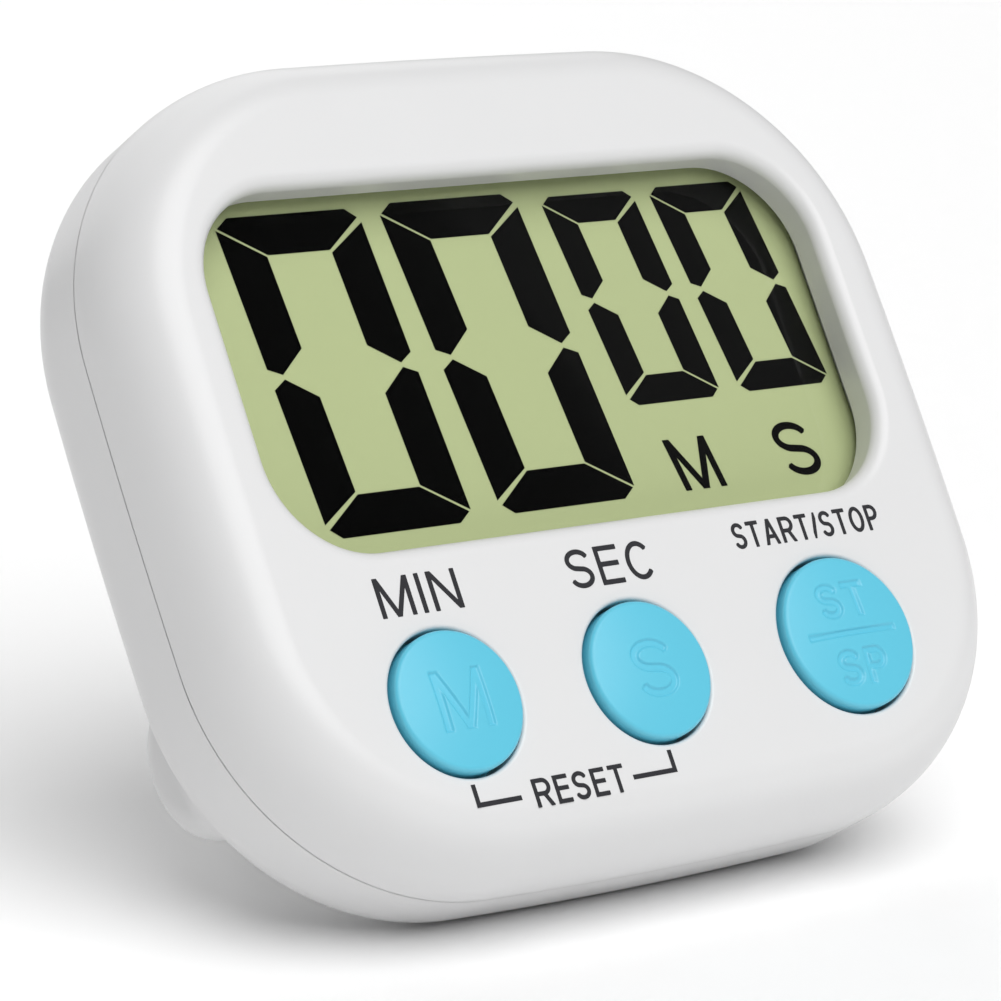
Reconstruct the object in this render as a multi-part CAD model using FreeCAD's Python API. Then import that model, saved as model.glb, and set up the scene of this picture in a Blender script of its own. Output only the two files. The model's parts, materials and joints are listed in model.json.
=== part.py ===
import FreeCAD, Part
import math
import os

# Kitchen timer, in millimetres. Every piece is drawn in the timer's own frame: X to the right, Y up
# the face, Z out of the face, with the origin at the middle of the face. Then the whole timer is
# leaned back on its open stand, so the row frame has +Z up and the face turned to -Y.

# ---- case outline and depth -------------------------------------------------------------------
case_width = 80.0
case_height = 72.0
side_bow_radius = 590.0
top_bow_radius = 1160.0
bottom_bow_radius = 507.0
top_corner_radius = 24.1
bottom_corner_radius = 22.4
parting_depth = 8.5
case_depth = 18.5
front_edge_round = 6.5
back_edge_round = 5.5
wall = 1.8
face_wall = 2.0
lip_wall = 0.8
lip_length = 1.5
lip_clearance = 0.1
lean_deg = 33.4

# ---- display ----------------------------------------------------------------------------------
window_width = 63.6
window_height = 31.3
window_corner = 8.5
window_centre_y = 7.4
recess_depth = 3.7
recess_rim_wall = 1.2
recess_edge_round = 0.8
pane_thickness = 0.8
pane_overlap = 0.9
film_thickness = 0.2
glass_thickness = 1.1
glass_margin = 1.0
glass_ledge = 2.4
reflector_thickness = 0.3
stack_gap = 0.1
holder_clearance = 0.3
holder_wall = 1.1
holder_corner = 3.0
holder_shelf = 3.0
zebra_width = 1.7
zebra_half_length = 29.0

# ---- buttons ----------------------------------------------------------------------------------
small_hole_radius = 6.2
large_hole_radius = 7.0
min_button_x = -21.4
sec_button_x = -2.05
start_button_x = 19.6
small_button_y = -21.5
large_button_y = -21.1
button_clearance = 0.3
button_rim_height = 0.6
button_crown = 0.5
button_edge_round = 0.4
button_travel = 1.0
button_flange = 0.6
button_flange_thickness = 0.9
button_skin = 1.4
button_stem_radius = 2.2
guide_wall = 1.1
guide_length = 1.2
hole_edge_round = 0.3
dome_foot_radius = 4.9
dome_foot_height = 0.8
dome_web = 0.5
dome_shoulder = 1.0
dome_plunger_height = 3.2
pill_radius = 1.8
pill_thickness = 0.4
pad_radius = 2.6
pad_thickness = 0.05

# ---- circuit board and what is on it -----------------------------------------------------------
board_front_depth = 10.0
board_thickness = 1.2
board_edge_gap = 1.4
blob_radius = 6.0
blob_height = 1.6
blob_x = 8.0
blob_y = 9.0
crystal_radius = 1.0
crystal_length = 6.0
crystal_x = -4.0
crystal_y = 19.0
coil_radius = 3.0
coil_height = 3.6
coil_x = 24.0
coil_y = 18.0
part_gap = 4.0
capacitor_size = (2.0, 1.25, 1.0)
resistor_size = (1.6, 0.8, 0.5)
transistor_size = (2.9, 1.3, 1.0)
transistor_standoff = 0.1
lead_size = (0.4, 0.7, 0.5)
lead_pitch = 0.95
lead_reach = 0.8

# ---- screws -----------------------------------------------------------------------------------
case_screw_top_x = 14.0
case_screw_top_y = 29.5
case_screw_bottom_x = 10.0
boss_button_gap = 1.19
case_boss_radius = 2.6
case_boss_end_depth = 12.0
case_screw_radius = 1.0
case_screw_head_radius = 1.9
case_screw_head_height = 1.2
case_screw_tip_depth = 6.5
screw_fit = 0.02
head_clearance = 0.2
head_sink = 1.6
boss_gap = 0.2
board_screw_top_x = 27.0
board_screw_top_y = 27.9
board_screw_bottom_x = 31.0
board_screw_bottom_y = -15.5
board_boss_radius = 2.0
board_screw_radius = 0.7
board_screw_head_radius = 1.4
board_screw_head_height = 0.8
board_screw_tip_depth = 6.0
screw_slot_width = 0.5
screw_slot_depth = 0.5
screw_slot_share = 0.7

# ---- battery compartment ----------------------------------------------------------------------
cell_radius = 5.25
cell_length = 44.5
cell_cap_radius = 1.9
cell_cap_length = 1.0
cell_sleeve_thickness = 0.15
cell_y = -17.8
cell_back_inset = 0.3
board_tub_gap = 0.4
cell_clearance = 0.35
tub_wall = 1.0
door_thickness = 1.3
door_gap = 0.3
door_cell_gap = 0.1
door_drop = 1.2
door_tab_thickness = 1.2
door_tab_width = 6.0
door_tab_reach = 3.4
door_travel = 9.0
door_groove_count = 4
door_groove_pitch = 2.2
door_groove_width = 0.8
door_groove_depth = 0.4
contact_thickness = 0.4
contact_width = 7.6
contact_gap = 0.15
contact_tail_reach = 2.0
spring_length = 3.0
spring_wire_radius = 0.25
spring_radius = 2.6
spring_turns = 3
rib_thickness = 0.8
tab_zone = 1.8
bulge_side_inset = 4.5
bulge_end_round = 3.0

# ---- back of the case: stand, magnet, buzzer ---------------------------------------------------
stand_rake_deg = 59.67
stand_boss_gap = 0.6
stand_arm_width = 3.8
stand_bar_width = 5.0
stand_thickness = 3.2
stand_corner = 3.0
stand_eye_radius = 2.0
stand_tip_fill = 0.98
stand_lug_boss_gap = 0.7
stand_axis_gap = 2.4
stand_heel = 3.4
stand_heel_gap = 0.3
stand_lug_gap = 0.4
stand_lug_thickness = 2.6
stand_lug_radius = 2.3
pin_radius = 1.0
pin_clearance = 0.05
magnet_radius = 8.0
magnet_thickness = 3.0
magnet_y = 12.0
magnet_fit = 0.1
magnet_proud = 0.2
magnet_boss_wall = 1.5
magnet_chamfer = 0.3
boss_rim_round = 0.5
magnet_floor = 1.6
buzzer_radius = 10.0
buzzer_plate_thickness = 0.4
ceramic_radius = 7.0
ceramic_thickness = 0.25
buzzer_x = -24.5
buzzer_y = 11.5
foam_width = 1.5
foam_thickness = 1.2
foam_fit = 0.3
sound_hole_radius = 0.8
sound_hole_ring = 3.2
sound_hole_count = 6

# ---- wires ------------------------------------------------------------------------------------
wire_radius = 0.45
wire_bend = 1.5
red_wire_rise = 4.5
black_wire_rise = 4.0
battery_wire_run = 6.0
buzzer_wire_run = 14.0
buzzer_wire_spread = 2.0
buzzer_wire_edge = 1.5

# ---- for cutting and finding ------------------------------------------------------------------
past = 1.0
tiny = 1e-4

# ---- depths that follow from the sizes above ----------------------------------------------------
pane_front = -recess_depth
film_front = pane_front - pane_thickness - stack_gap
front_glass_front = film_front - film_thickness
rear_glass_front = front_glass_front - glass_thickness
reflector_front = rear_glass_front - glass_thickness
reflector_back = reflector_front - reflector_thickness
board_front = -board_front_depth
board_back = board_front - board_thickness
back_plane = -case_depth
back_inner = back_plane + wall
tub_radius = cell_radius + cell_clearance
cell_z = min(back_plane + cell_back_inset, board_back - board_tub_gap - tub_wall - tub_radius)
bulge_radius = tub_radius + door_thickness + door_cell_gap
bulge_back = cell_z - bulge_radius
bulge_half_length = case_width / 2 - bulge_side_inset
door_edge = cell_z - door_drop
cell_half = cell_length / 2
plus_contact_x = cell_half + contact_gap
minus_contact_x = -cell_half - spring_length - contact_thickness
tail_high = cell_z + contact_width / 2
tail_low = max(cell_z + contact_width / 4, back_inner + contact_gap)
tub_half_length = -minus_contact_x + contact_gap + rib_thickness + tab_zone
door_half_length = tub_half_length - door_gap
magnet_boss_radius = magnet_radius + magnet_fit + magnet_boss_wall
stand_inner_half = magnet_boss_radius + stand_boss_gap
stand_axis_y = magnet_y - magnet_boss_radius - stand_lug_boss_gap - stand_lug_radius
stand_axis_z = back_plane - stand_axis_gap
boss_reach = small_hole_radius + button_flange + boss_button_gap + case_boss_radius
boss_drop = math.sqrt(boss_reach**2 - (case_screw_bottom_x + sec_button_x)**2)
case_screw_bottom_y = small_button_y - boss_drop
glass_half_width = window_width / 2 + glass_margin
glass_top = window_centre_y + window_height / 2 + glass_margin
rear_glass_bottom = window_centre_y - window_height / 2 - glass_margin
front_glass_bottom = rear_glass_bottom - glass_ledge

BUTTONS = {
    "min": (min_button_x, small_button_y, small_hole_radius),
    "sec": (sec_button_x, small_button_y, small_hole_radius),
    "start_stop": (start_button_x, large_button_y, large_hole_radius),
}
CASE_SCREWS = [
    (sign * x, y)
    for x, y in ((case_screw_top_x, case_screw_top_y), (case_screw_bottom_x, case_screw_bottom_y))
    for sign in (-1, 1)
]
BOARD_SCREWS = [
    (sign * x, y)
    for x, y in ((board_screw_top_x, board_screw_top_y), (board_screw_bottom_x, board_screw_bottom_y))
    for sign in (-1, 1)
]


# ---- small drawing helpers ----------------------------------------------------------------------
def vec(x, y, z):
    return FreeCAD.Vector(x, y, z)


def box(x0, x1, y0, y1, z0, z1):
    return Part.makeBox(x1 - x0, y1 - y0, z1 - z0, vec(x0, y0, z0))


def rod(x, y, z0, z1, radius):
    """A round bar along Z."""
    return Part.makeCylinder(radius, z1 - z0, vec(x, y, z0), vec(0, 0, 1))


def cross_rod(x0, x1, y, z, radius):
    """A round bar along X."""
    return Part.makeCylinder(radius, x1 - x0, vec(x0, y, z), vec(1, 0, 0))


def fuse_all(shapes):
    return shapes[0].multiFuse(shapes[1:]).removeSplitter()


def edges_at(shape, z):
    """The edges that lie in the plane at height z."""
    found = []
    for edge in shape.Edges:
        reach = edge.BoundBox
        if abs(reach.ZMin - z) < tiny and abs(reach.ZMax - z) < tiny:
            found.append(edge)
    return found


def upright_edges(shape):
    found = []
    for edge in shape.Edges:
        reach = edge.BoundBox
        if reach.XLength < tiny and reach.YLength < tiny:
            found.append(edge)
    return found


def rounded_block(width, height, corner, x, y, z0, z1):
    block = box(x - width / 2, x + width / 2, y - height / 2, y + height / 2, z0, z1)
    return block.makeFillet(corner, upright_edges(block))


def circles_meet(first, first_radius, second, second_radius, near):
    """The point where two circles cross, on the side of the point named near."""
    across = second - first
    span = across.Length
    along = (first_radius**2 - second_radius**2 + span**2) / (2 * span)
    rise = math.sqrt(first_radius**2 - along**2)
    middle = first + across * (along / span)
    turned = vec(-across.y, across.x, 0) * (rise / span)
    one, other = middle + turned, middle - turned
    return one if (one - near).Length < (other - near).Length else other


def outline_arcs():
    """The case outline, as (centre, radius, start direction, end direction), counter-clockwise."""
    half_width = case_width / 2
    half_height = case_height / 2
    right = vec(half_width - side_bow_radius, 0, 0)
    left = vec(side_bow_radius - half_width, 0, 0)
    top = vec(0, half_height - top_bow_radius, 0)
    bottom = vec(0, bottom_bow_radius - half_height, 0)
    corners = {}
    for name, side, side_sign, end, end_sign, end_radius, radius in (
        ("top_right", right, 1, top, 1, top_bow_radius, top_corner_radius),
        ("top_left", left, -1, top, 1, top_bow_radius, top_corner_radius),
        ("bottom_left", left, -1, bottom, -1, bottom_bow_radius, bottom_corner_radius),
        ("bottom_right", right, 1, bottom, -1, bottom_bow_radius, bottom_corner_radius),
    ):
        near = vec(side_sign * half_width, end_sign * half_height, 0)
        corners[name] = circles_meet(side, side_bow_radius - radius, end, end_radius - radius, near)

    def towards(start, end):
        return (end - start).normalize()

    arcs = []
    for centre, radius, before, after in (
        (right, side_bow_radius, "bottom_right", "top_right"),
        (top, top_bow_radius, "top_right", "top_left"),
        (left, side_bow_radius, "top_left", "bottom_left"),
        (bottom, bottom_bow_radius, "bottom_left", "bottom_right"),
    ):
        arcs.append((centre, radius, towards(centre, corners[before]), towards(centre, corners[after])))
    order = ["top_right", "top_left", "bottom_left", "bottom_right"]
    radii = [top_corner_radius, top_corner_radius, bottom_corner_radius, bottom_corner_radius]
    rounded = []
    for index, arc in enumerate(arcs):
        following = arcs[(index + 1) % len(arcs)]
        rounded.append(arc)
        rounded.append((corners[order[index]], radii[index], arc[3], following[2]))
    return rounded


def slab(inset, z0, z1):
    """The case outline, drawn in by inset all round, as a block from z0 to z1."""
    edges = []
    for centre, radius, start, end in outline_arcs():
        middle = (start + end).normalize()
        reach = radius - inset
        points = [centre + way * reach + vec(0, 0, z0) for way in (start, middle, end)]
        edges.append(Part.Arc(*points).toShape())
    return Part.Face(Part.Wire(edges)).extrude(vec(0, 0, z1 - z0))


def window_block(margin, z0, z1):
    """The window's rounded outline, made larger by margin all round."""
    return rounded_block(
        window_width + 2 * margin,
        window_height + 2 * margin,
        window_corner + margin,
        0,
        window_centre_y,
        z0,
        z1,
    )


def inside_window(edge):
    """Whether an edge lies within the window's outline."""
    reach = edge.BoundBox
    wide = max(abs(reach.XMin), abs(reach.XMax)) < window_width / 2 + tiny
    high = abs(reach.Center.y - window_centre_y) + reach.YLength / 2 < window_height / 2 + tiny
    return wide and high


# ---- case ---------------------------------------------------------------------------------------
def front_envelope():
    block = slab(0, -parting_depth, 0)
    return block.makeFillet(front_edge_round, edges_at(block, 0))


def front_shell():
    envelope = front_envelope()
    hollow = slab(wall, -parting_depth, -face_wall)
    hollow = hollow.makeFillet(front_edge_round - wall, edges_at(hollow, -face_wall))
    shell = envelope.cut(hollow)
    lip_end = -parting_depth - lip_length
    lip = slab(wall - lip_wall, lip_end, -parting_depth + wall)
    lip = lip.cut(slab(wall, lip_end, -parting_depth + wall))
    extras = [lip, window_block(recess_rim_wall, -recess_depth, -face_wall / 2)]
    for x, y, radius in BUTTONS.values():
        extras.append(rod(x, y, -face_wall - guide_length, -face_wall / 2, radius + guide_wall))
    deep = slab(wall / 2, -case_boss_end_depth, -parting_depth).fuse(envelope)
    for x, y in CASE_SCREWS:
        extras.append(rod(x, y, -case_boss_end_depth, -face_wall / 2, case_boss_radius).common(deep))
    for x, y in BOARD_SCREWS:
        extras.append(rod(x, y, board_front, -face_wall / 2, board_boss_radius).common(deep))
    shell = fuse_all([shell] + extras)
    shell = shell.cut(window_block(0, -recess_depth, 0))
    for x, y, radius in BUTTONS.values():
        shell = shell.cut(rod(x, y, -face_wall - guide_length, 0, radius))
    window_rim = [e for e in edges_at(shell, 0) if inside_window(e)]
    shell = shell.makeFillet(recess_edge_round, window_rim)
    hole_rims = [e for e in edges_at(shell, 0) if e.Curve.TypeId == "Part::GeomCircle" and e.isClosed()]
    shell = shell.makeFillet(hole_edge_round, hole_rims)
    for x, y in CASE_SCREWS:
        hole = rod(x, y, -case_boss_end_depth, -case_screw_tip_depth, case_screw_radius + screw_fit)
        shell = shell.cut(hole)
    for x, y in BOARD_SCREWS:
        hole = rod(x, y, board_front, -board_screw_tip_depth, board_screw_radius + screw_fit)
        shell = shell.cut(hole)
    return shell


def back_envelope():
    """The outside of the rear half: case back, battery bulge and magnet boss, with no openings."""
    block = slab(0, back_plane, -parting_depth)
    block = block.makeFillet(back_edge_round, edges_at(block, back_plane))
    bulge = cross_rod(-bulge_half_length, bulge_half_length, cell_y, cell_z, bulge_radius)
    ends = [e for e in bulge.Edges if e.BoundBox.XLength < tiny]
    bulge = bulge.makeFillet(bulge_end_round, ends)
    boss = rod(0, magnet_y, bulge_back + magnet_proud, back_inner, magnet_boss_radius)
    boss = boss.makeFillet(boss_rim_round, edges_at(boss, bulge_back + magnet_proud))
    return fuse_all([block, bulge, boss])


def stand_lug(side):
    """One of the two ears, between the stand's arms, that hold the hinge pins."""
    outer = side * (stand_inner_half - stand_lug_gap)
    inner = outer - side * stand_lug_thickness
    x0, x1 = min(outer, inner), max(outer, inner)
    ear = cross_rod(x0, x1, stand_axis_y, stand_axis_z, stand_lug_radius)
    root = box(x0, x1, stand_axis_y - stand_lug_radius, stand_axis_y + stand_lug_radius,
               stand_axis_z, back_inner)
    return ear.fuse(root)


def rear_shell():
    envelope = back_envelope()
    hollow = slab(wall, back_inner, -parting_depth)
    hollow = hollow.makeFillet(back_edge_round - wall, edges_at(hollow, back_inner))
    core = rod(0, magnet_y, bulge_back + magnet_proud + magnet_thickness + magnet_floor,
               back_inner + wall, magnet_radius - magnet_boss_wall)
    rebate_depth = lip_length + lip_clearance
    rebate = slab(wall - lip_wall - lip_clearance, -parting_depth - rebate_depth, -parting_depth)
    shell = envelope.cut(hollow).cut(core).cut(rebate)
    tub_end = tub_half_length + tub_wall
    tub = cross_rod(-tub_end, tub_end, cell_y, cell_z, tub_radius + tub_wall)
    extras = [tub, stand_lug(-1), stand_lug(1)]
    for x, y in CASE_SCREWS:
        extras.append(rod(x, y, back_inner, -case_boss_end_depth - boss_gap, case_boss_radius))
    foam_outer = buzzer_radius + foam_fit
    seat = rod(buzzer_x, buzzer_y, back_inner, back_inner + foam_thickness, foam_outer + tub_wall)
    extras.append(seat.cut(rod(buzzer_x, buzzer_y, back_inner, 0, foam_outer)))
    shell = fuse_all([shell] + extras)
    shell = shell.cut(cross_rod(-tub_half_length, tub_half_length, cell_y, cell_z, tub_radius))
    low = bulge_back - past
    shell = shell.cut(box(-tub_half_length, tub_half_length, cell_y - tub_radius, cell_y + tub_radius,
                          low, cell_z))
    reach = bulge_radius + past
    shell = shell.cut(box(-tub_half_length, tub_half_length, cell_y - reach, cell_y + reach,
                          low, door_edge + door_gap))
    shell = fuse_all([shell, plus_rib(), minus_rib()])
    for slot in contact_slots():
        shell = shell.cut(slot)
    for x, y in CASE_SCREWS:
        head_hole = case_screw_head_radius + head_clearance
        shell = shell.cut(rod(x, y, back_plane - past, back_plane + head_sink, head_hole))
        shell = shell.cut(rod(x, y, back_plane, -case_boss_end_depth, case_screw_radius + boss_gap / 2))
    pocket_top = bulge_back + magnet_thickness
    shell = shell.cut(rod(0, magnet_y, low, pocket_top, magnet_radius + magnet_fit))
    bore = cross_rod(-stand_inner_half, stand_inner_half, stand_axis_y, stand_axis_z,
                     pin_radius + screw_fit)
    shell = shell.cut(bore)
    for x, y in sound_holes():
        shell = shell.cut(rod(x, y, back_plane - past, back_inner + past, sound_hole_radius))
    return shell


def sound_holes():
    """The centres of the holes over the buzzer: one in the middle and a ring round it."""
    centres = [(buzzer_x, buzzer_y)]
    for index in range(sound_hole_count):
        turn = 2 * math.pi * index / sound_hole_count
        centres.append((buzzer_x + sound_hole_ring * math.cos(turn),
                        buzzer_y + sound_hole_ring * math.sin(turn)))
    return centres


def cell_section(x0, x1):
    """A slice of the battery space from x0 to x1, filled solid."""
    reach = tub_radius + tub_wall / 2
    round_part = cross_rod(x0, x1, cell_y, cell_z, reach)
    front_half = box(x0, x1, cell_y - reach, cell_y + reach, cell_z, cell_z + reach)
    flat_part = box(x0, x1, cell_y - reach, cell_y + reach, door_edge + door_gap, cell_z)
    return round_part.common(front_half).fuse(flat_part)


def plus_rib():
    start = plus_contact_x + contact_thickness + contact_gap
    return cell_section(start, start + rib_thickness)


def minus_rib():
    start = minus_contact_x - contact_gap
    return cell_section(start - rib_thickness, start)


def contact_slots():
    """Slots in the battery space's upper wall, where the contacts' solder tails pass through."""
    slots = []
    for x in (plus_contact_x, minus_contact_x):
        slots.append(box(x - contact_gap, x + contact_thickness + contact_gap,
                         cell_y, cell_y + tub_radius + tub_wall + past,
                         tail_low - contact_gap, tail_high + contact_gap))
    return slots


def battery_door():
    """A half-round cover with a locating tab at each end, lifted straight off the back."""
    outer = cross_rod(-door_half_length, door_half_length, cell_y, cell_z, bulge_radius)
    inner = cross_rod(-door_half_length, door_half_length, cell_y, cell_z, bulge_radius - door_thickness)
    reach = bulge_radius + past
    keep = box(-door_half_length, door_half_length, cell_y - reach, cell_y + reach,
               bulge_back - past, door_edge)
    door = outer.cut(inner).common(keep)
    tab_half = door_tab_width / 2
    for side in (-1, 1):
        x0 = min(side * door_half_length, side * (door_half_length - door_tab_thickness))
        tab = box(x0, x0 + door_tab_thickness, cell_y - tab_half, cell_y + tab_half,
                  bulge_back + door_thickness / 2, door_edge + door_tab_reach)
        door = door.fuse(tab)
    first = -(door_groove_count - 1) / 2
    for index in range(door_groove_count):
        x = (first + index) * door_groove_pitch
        x0, x1 = x - door_groove_width / 2, x + door_groove_width / 2
        ring = cross_rod(x0, x1, cell_y, cell_z, bulge_radius + past)
        ring = ring.cut(cross_rod(x0, x1, cell_y, cell_z, bulge_radius - door_groove_depth))
        low_part = box(x0, x1, cell_y - bulge_radius / 2, cell_y + bulge_radius / 2,
                       bulge_back - past, cell_z)
        door = door.cut(ring.common(low_part))
    return door.removeSplitter()


# ---- display ------------------------------------------------------------------------------------
def display_window():
    back = pane_front - pane_thickness
    return window_block(pane_overlap, back, pane_front)


def display_sheet(top, bottom, side, front, thickness):
    return box(-side, side, bottom, top, front - thickness, front)


def front_polariser():
    edge = glass_margin / 2
    return display_sheet(glass_top - edge, rear_glass_bottom + edge, glass_half_width - edge,
                         film_front, film_thickness)


def front_glass():
    return display_sheet(glass_top, front_glass_bottom, glass_half_width, front_glass_front,
                         glass_thickness)


def rear_glass():
    return display_sheet(glass_top, rear_glass_bottom, glass_half_width, rear_glass_front,
                         glass_thickness)


def reflector():
    edge = glass_margin / 2
    return display_sheet(glass_top - edge, rear_glass_bottom + edge, glass_half_width - edge,
                         reflector_front, reflector_thickness)


def display_holder():
    gap = holder_clearance
    inner_side = glass_half_width + gap
    outer_side = inner_side + holder_wall
    inner_top = glass_top + gap
    inner_bottom = front_glass_bottom - gap
    centre_y = (inner_top + inner_bottom) / 2
    height = inner_top - inner_bottom
    frame = rounded_block(2 * outer_side, height + 2 * holder_wall, holder_corner, 0, centre_y,
                          board_front, film_front)
    shelf_top = reflector_back - stack_gap
    frame = frame.cut(box(-inner_side, inner_side, inner_bottom, inner_top, shelf_top, 0))
    through = glass_half_width - holder_shelf
    return frame.cut(box(-through, through, inner_bottom, glass_top - holder_shelf, board_front - past, 0))


def zebra_strip():
    middle = (front_glass_bottom + rear_glass_bottom) / 2
    return box(-zebra_half_length, zebra_half_length, middle - zebra_width / 2, middle + zebra_width / 2,
               board_front, rear_glass_front)


# ---- circuit board ------------------------------------------------------------------------------
def circuit_board():
    board = slab(wall + board_edge_gap, board_back, board_front)
    for x, y in CASE_SCREWS:
        board = board.cut(rod(x, y, board_back - past, 0, case_boss_radius + holder_clearance))
    for x, y in BOARD_SCREWS:
        board = board.cut(rod(x, y, board_back - past, 0, board_screw_radius + boss_gap))
    return board


def contact_pads():
    pads = []
    for x, y, _hole in BUTTONS.values():
        pads.append(rod(x, y, board_front, board_front + pad_thickness, pad_radius))
    return Part.makeCompound(pads)


def chip_blob():
    """A low dome of black epoxy."""
    ball = (blob_radius**2 + blob_height**2) / (2 * blob_height)
    dome = Part.makeSphere(ball, vec(blob_x, blob_y, board_back + ball - blob_height))
    return dome.common(rod(blob_x, blob_y, board_back - blob_height - past, board_back, blob_radius + past))


def clock_crystal():
    z = board_back - crystal_radius
    return cross_rod(crystal_x, crystal_x + crystal_length, crystal_y, z, crystal_radius)


def boost_coil():
    core = rod(coil_x, coil_y, board_back - coil_height, board_back, coil_radius / 2)
    flange = coil_height / 6
    lower = rod(coil_x, coil_y, board_back - coil_height, board_back - coil_height + flange, coil_radius)
    upper = rod(coil_x, coil_y, board_back - flange, board_back, coil_radius)
    winding = rod(coil_x, coil_y, board_back - coil_height + flange, board_back - flange,
                  coil_radius - flange)
    return fuse_all([core, lower, upper, winding])


def small_blocks(centres, size):
    """Identical little parts soldered on the back of the board."""
    length, width, height = size
    blocks = []
    for x, y in centres:
        blocks.append(box(x - length / 2, x + length / 2, y - width / 2, y + width / 2,
                          board_back - height, board_back))
    return Part.makeCompound(blocks)


def capacitors():
    row_x = crystal_x + crystal_length / 2
    row_y = crystal_y + part_gap
    return small_blocks([(row_x, row_y), (row_x + part_gap, row_y)], capacitor_size)


def resistors():
    start = blob_x + blob_radius + part_gap / 2
    return small_blocks([(start, blob_y + part_gap * step) for step in (-1, 0, 1)], resistor_size)


def transistor():
    x = coil_x
    y = coil_y - coil_radius - part_gap
    length, width, height = transistor_size
    body = box(x - length / 2, x + length / 2, y - width / 2, y + width / 2,
               board_back - height, board_back - transistor_standoff)
    leads = [(x - lead_pitch, y - lead_reach), (x + lead_pitch, y - lead_reach), (x, y + lead_reach)]
    return fuse_all([body] + small_blocks(leads, lead_size).Solids)


# ---- buttons ------------------------------------------------------------------------------------
def button_depths():
    """Depths of the flange's front and back faces and of the stem's end."""
    flange_front = -face_wall - guide_length - button_clearance
    flange_back = flange_front - button_flange_thickness
    stem_end = board_front + dome_foot_height + dome_plunger_height
    return flange_front, flange_back, stem_end


def button_cap(name):
    x, y, hole = BUTTONS[name]
    radius = hole - button_clearance
    flange_front, flange_back, stem_end = button_depths()
    ball = (radius**2 + button_crown**2) / (2 * button_crown)
    top = button_rim_height + button_crown
    cap = rod(x, y, flange_back, top + past, radius)
    ball_solid = Part.makeSphere(ball, vec(x, y, top - ball))
    cap = cap.common(ball_solid)
    cap = cap.makeFillet(button_edge_round, edges_at(cap, button_rim_height))
    flange = rod(x, y, flange_back, flange_front, hole + button_flange)
    hollow = rod(x, y, flange_back, button_rim_height - button_skin, radius - button_skin)
    stem = rod(x, y, stem_end, button_rim_height - button_skin, button_stem_radius)
    return fuse_all([cap.fuse(flange).cut(hollow), stem])


def rubber_dome(name):
    x, y, _hole = BUTTONS[name]
    foot = dome_foot_radius
    shoulder = foot - dome_shoulder
    _flange_front, _flange_back, stem_end = button_depths()
    foot_top = board_front + dome_foot_height
    plunger = button_stem_radius + dome_web
    pill_back = board_front + pad_thickness + button_travel
    under = pill_back + pill_thickness
    outline = [
        (foot, board_front), (foot, foot_top), (shoulder, foot_top),
        (plunger, stem_end - dome_shoulder), (plunger, stem_end), (0, stem_end),
        (0, under), (pill_radius, under), (shoulder - dome_web, foot_top - dome_web / 2),
        (shoulder - dome_web, board_front),
    ]
    points = [vec(x + r, y, z) for r, z in outline]
    face = Part.Face(Part.makePolygon(points + points[:1]))
    return face.revolve(vec(x, y, 0), vec(0, 0, 1), 360)


def carbon_pill(name):
    x, y, _hole = BUTTONS[name]
    low = board_front + pad_thickness + button_travel
    return rod(x, y, low, low + pill_thickness, pill_radius)


# ---- battery and contacts -----------------------------------------------------------------------
def battery_can():
    body = cross_rod(-cell_half, cell_half - cell_cap_length, cell_y, cell_z,
                     cell_radius - cell_sleeve_thickness)
    cap = cross_rod(cell_half - cell_cap_length, cell_half, cell_y, cell_z, cell_cap_radius)
    return body.fuse(cap).removeSplitter()


def battery_sleeve():
    inset = cell_cap_length / 2
    start = -cell_half + inset
    end = cell_half - cell_cap_length - inset
    outer = cross_rod(start, end, cell_y, cell_z, cell_radius)
    return outer.cut(cross_rod(start, end, cell_y, cell_z, cell_radius - cell_sleeve_thickness))


def contact_plate(x0):
    """A flat contact with a solder tail that reaches up out of the battery space."""
    half = contact_width / 2
    plate = box(x0, x0 + contact_thickness, cell_y - half, cell_y + half, cell_z - half, cell_z + half)
    tail_top = cell_y + tub_radius + tub_wall + contact_tail_reach
    tail = box(x0, x0 + contact_thickness, cell_y, tail_top, tail_low, tail_high)
    return plate.fuse(tail).removeSplitter()


def plus_contact():
    return contact_plate(plus_contact_x)


def minus_contact():
    return contact_plate(minus_contact_x)


def minus_spring():
    """A short coil between the negative plate and the battery's flat end."""
    start = minus_contact_x + contact_thickness + spring_wire_radius
    height = spring_length - 2 * spring_wire_radius
    helix = Part.makeHelix(height / spring_turns, height, spring_radius)
    ring = Part.makeCircle(spring_wire_radius, vec(spring_radius, 0, 0), vec(0, 1, 0))
    coil = Part.Wire(helix.Edges).makePipeShell([Part.Wire([ring])], True, True)
    coil = coil.copy()
    coil.rotate(vec(0, 0, 0), vec(0, 1, 0), 90)
    coil.translate(vec(start, cell_y, cell_z))
    return coil


# ---- stand --------------------------------------------------------------------------------------
def lowest_case_point():
    """How far the rounded lower back edge reaches below the middle of the face, once leaned back."""
    lean = math.radians(lean_deg)
    centre_y = -case_height / 2 + back_edge_round
    centre_z = back_plane + back_edge_round
    return math.cos(lean) * centre_y + math.sin(lean) * centre_z - back_edge_round


def stand_length():
    """How long the stand is, so that its foot and the case meet one surface at the stand's rake."""
    lean = math.radians(lean_deg)
    axis_height = math.cos(lean) * stand_axis_y + math.sin(lean) * stand_axis_z
    tip_radius = stand_thickness / 2
    drop = axis_height - lowest_case_point() - tip_radius
    return tip_radius + drop / math.sin(math.radians(stand_rake_deg))


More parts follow.
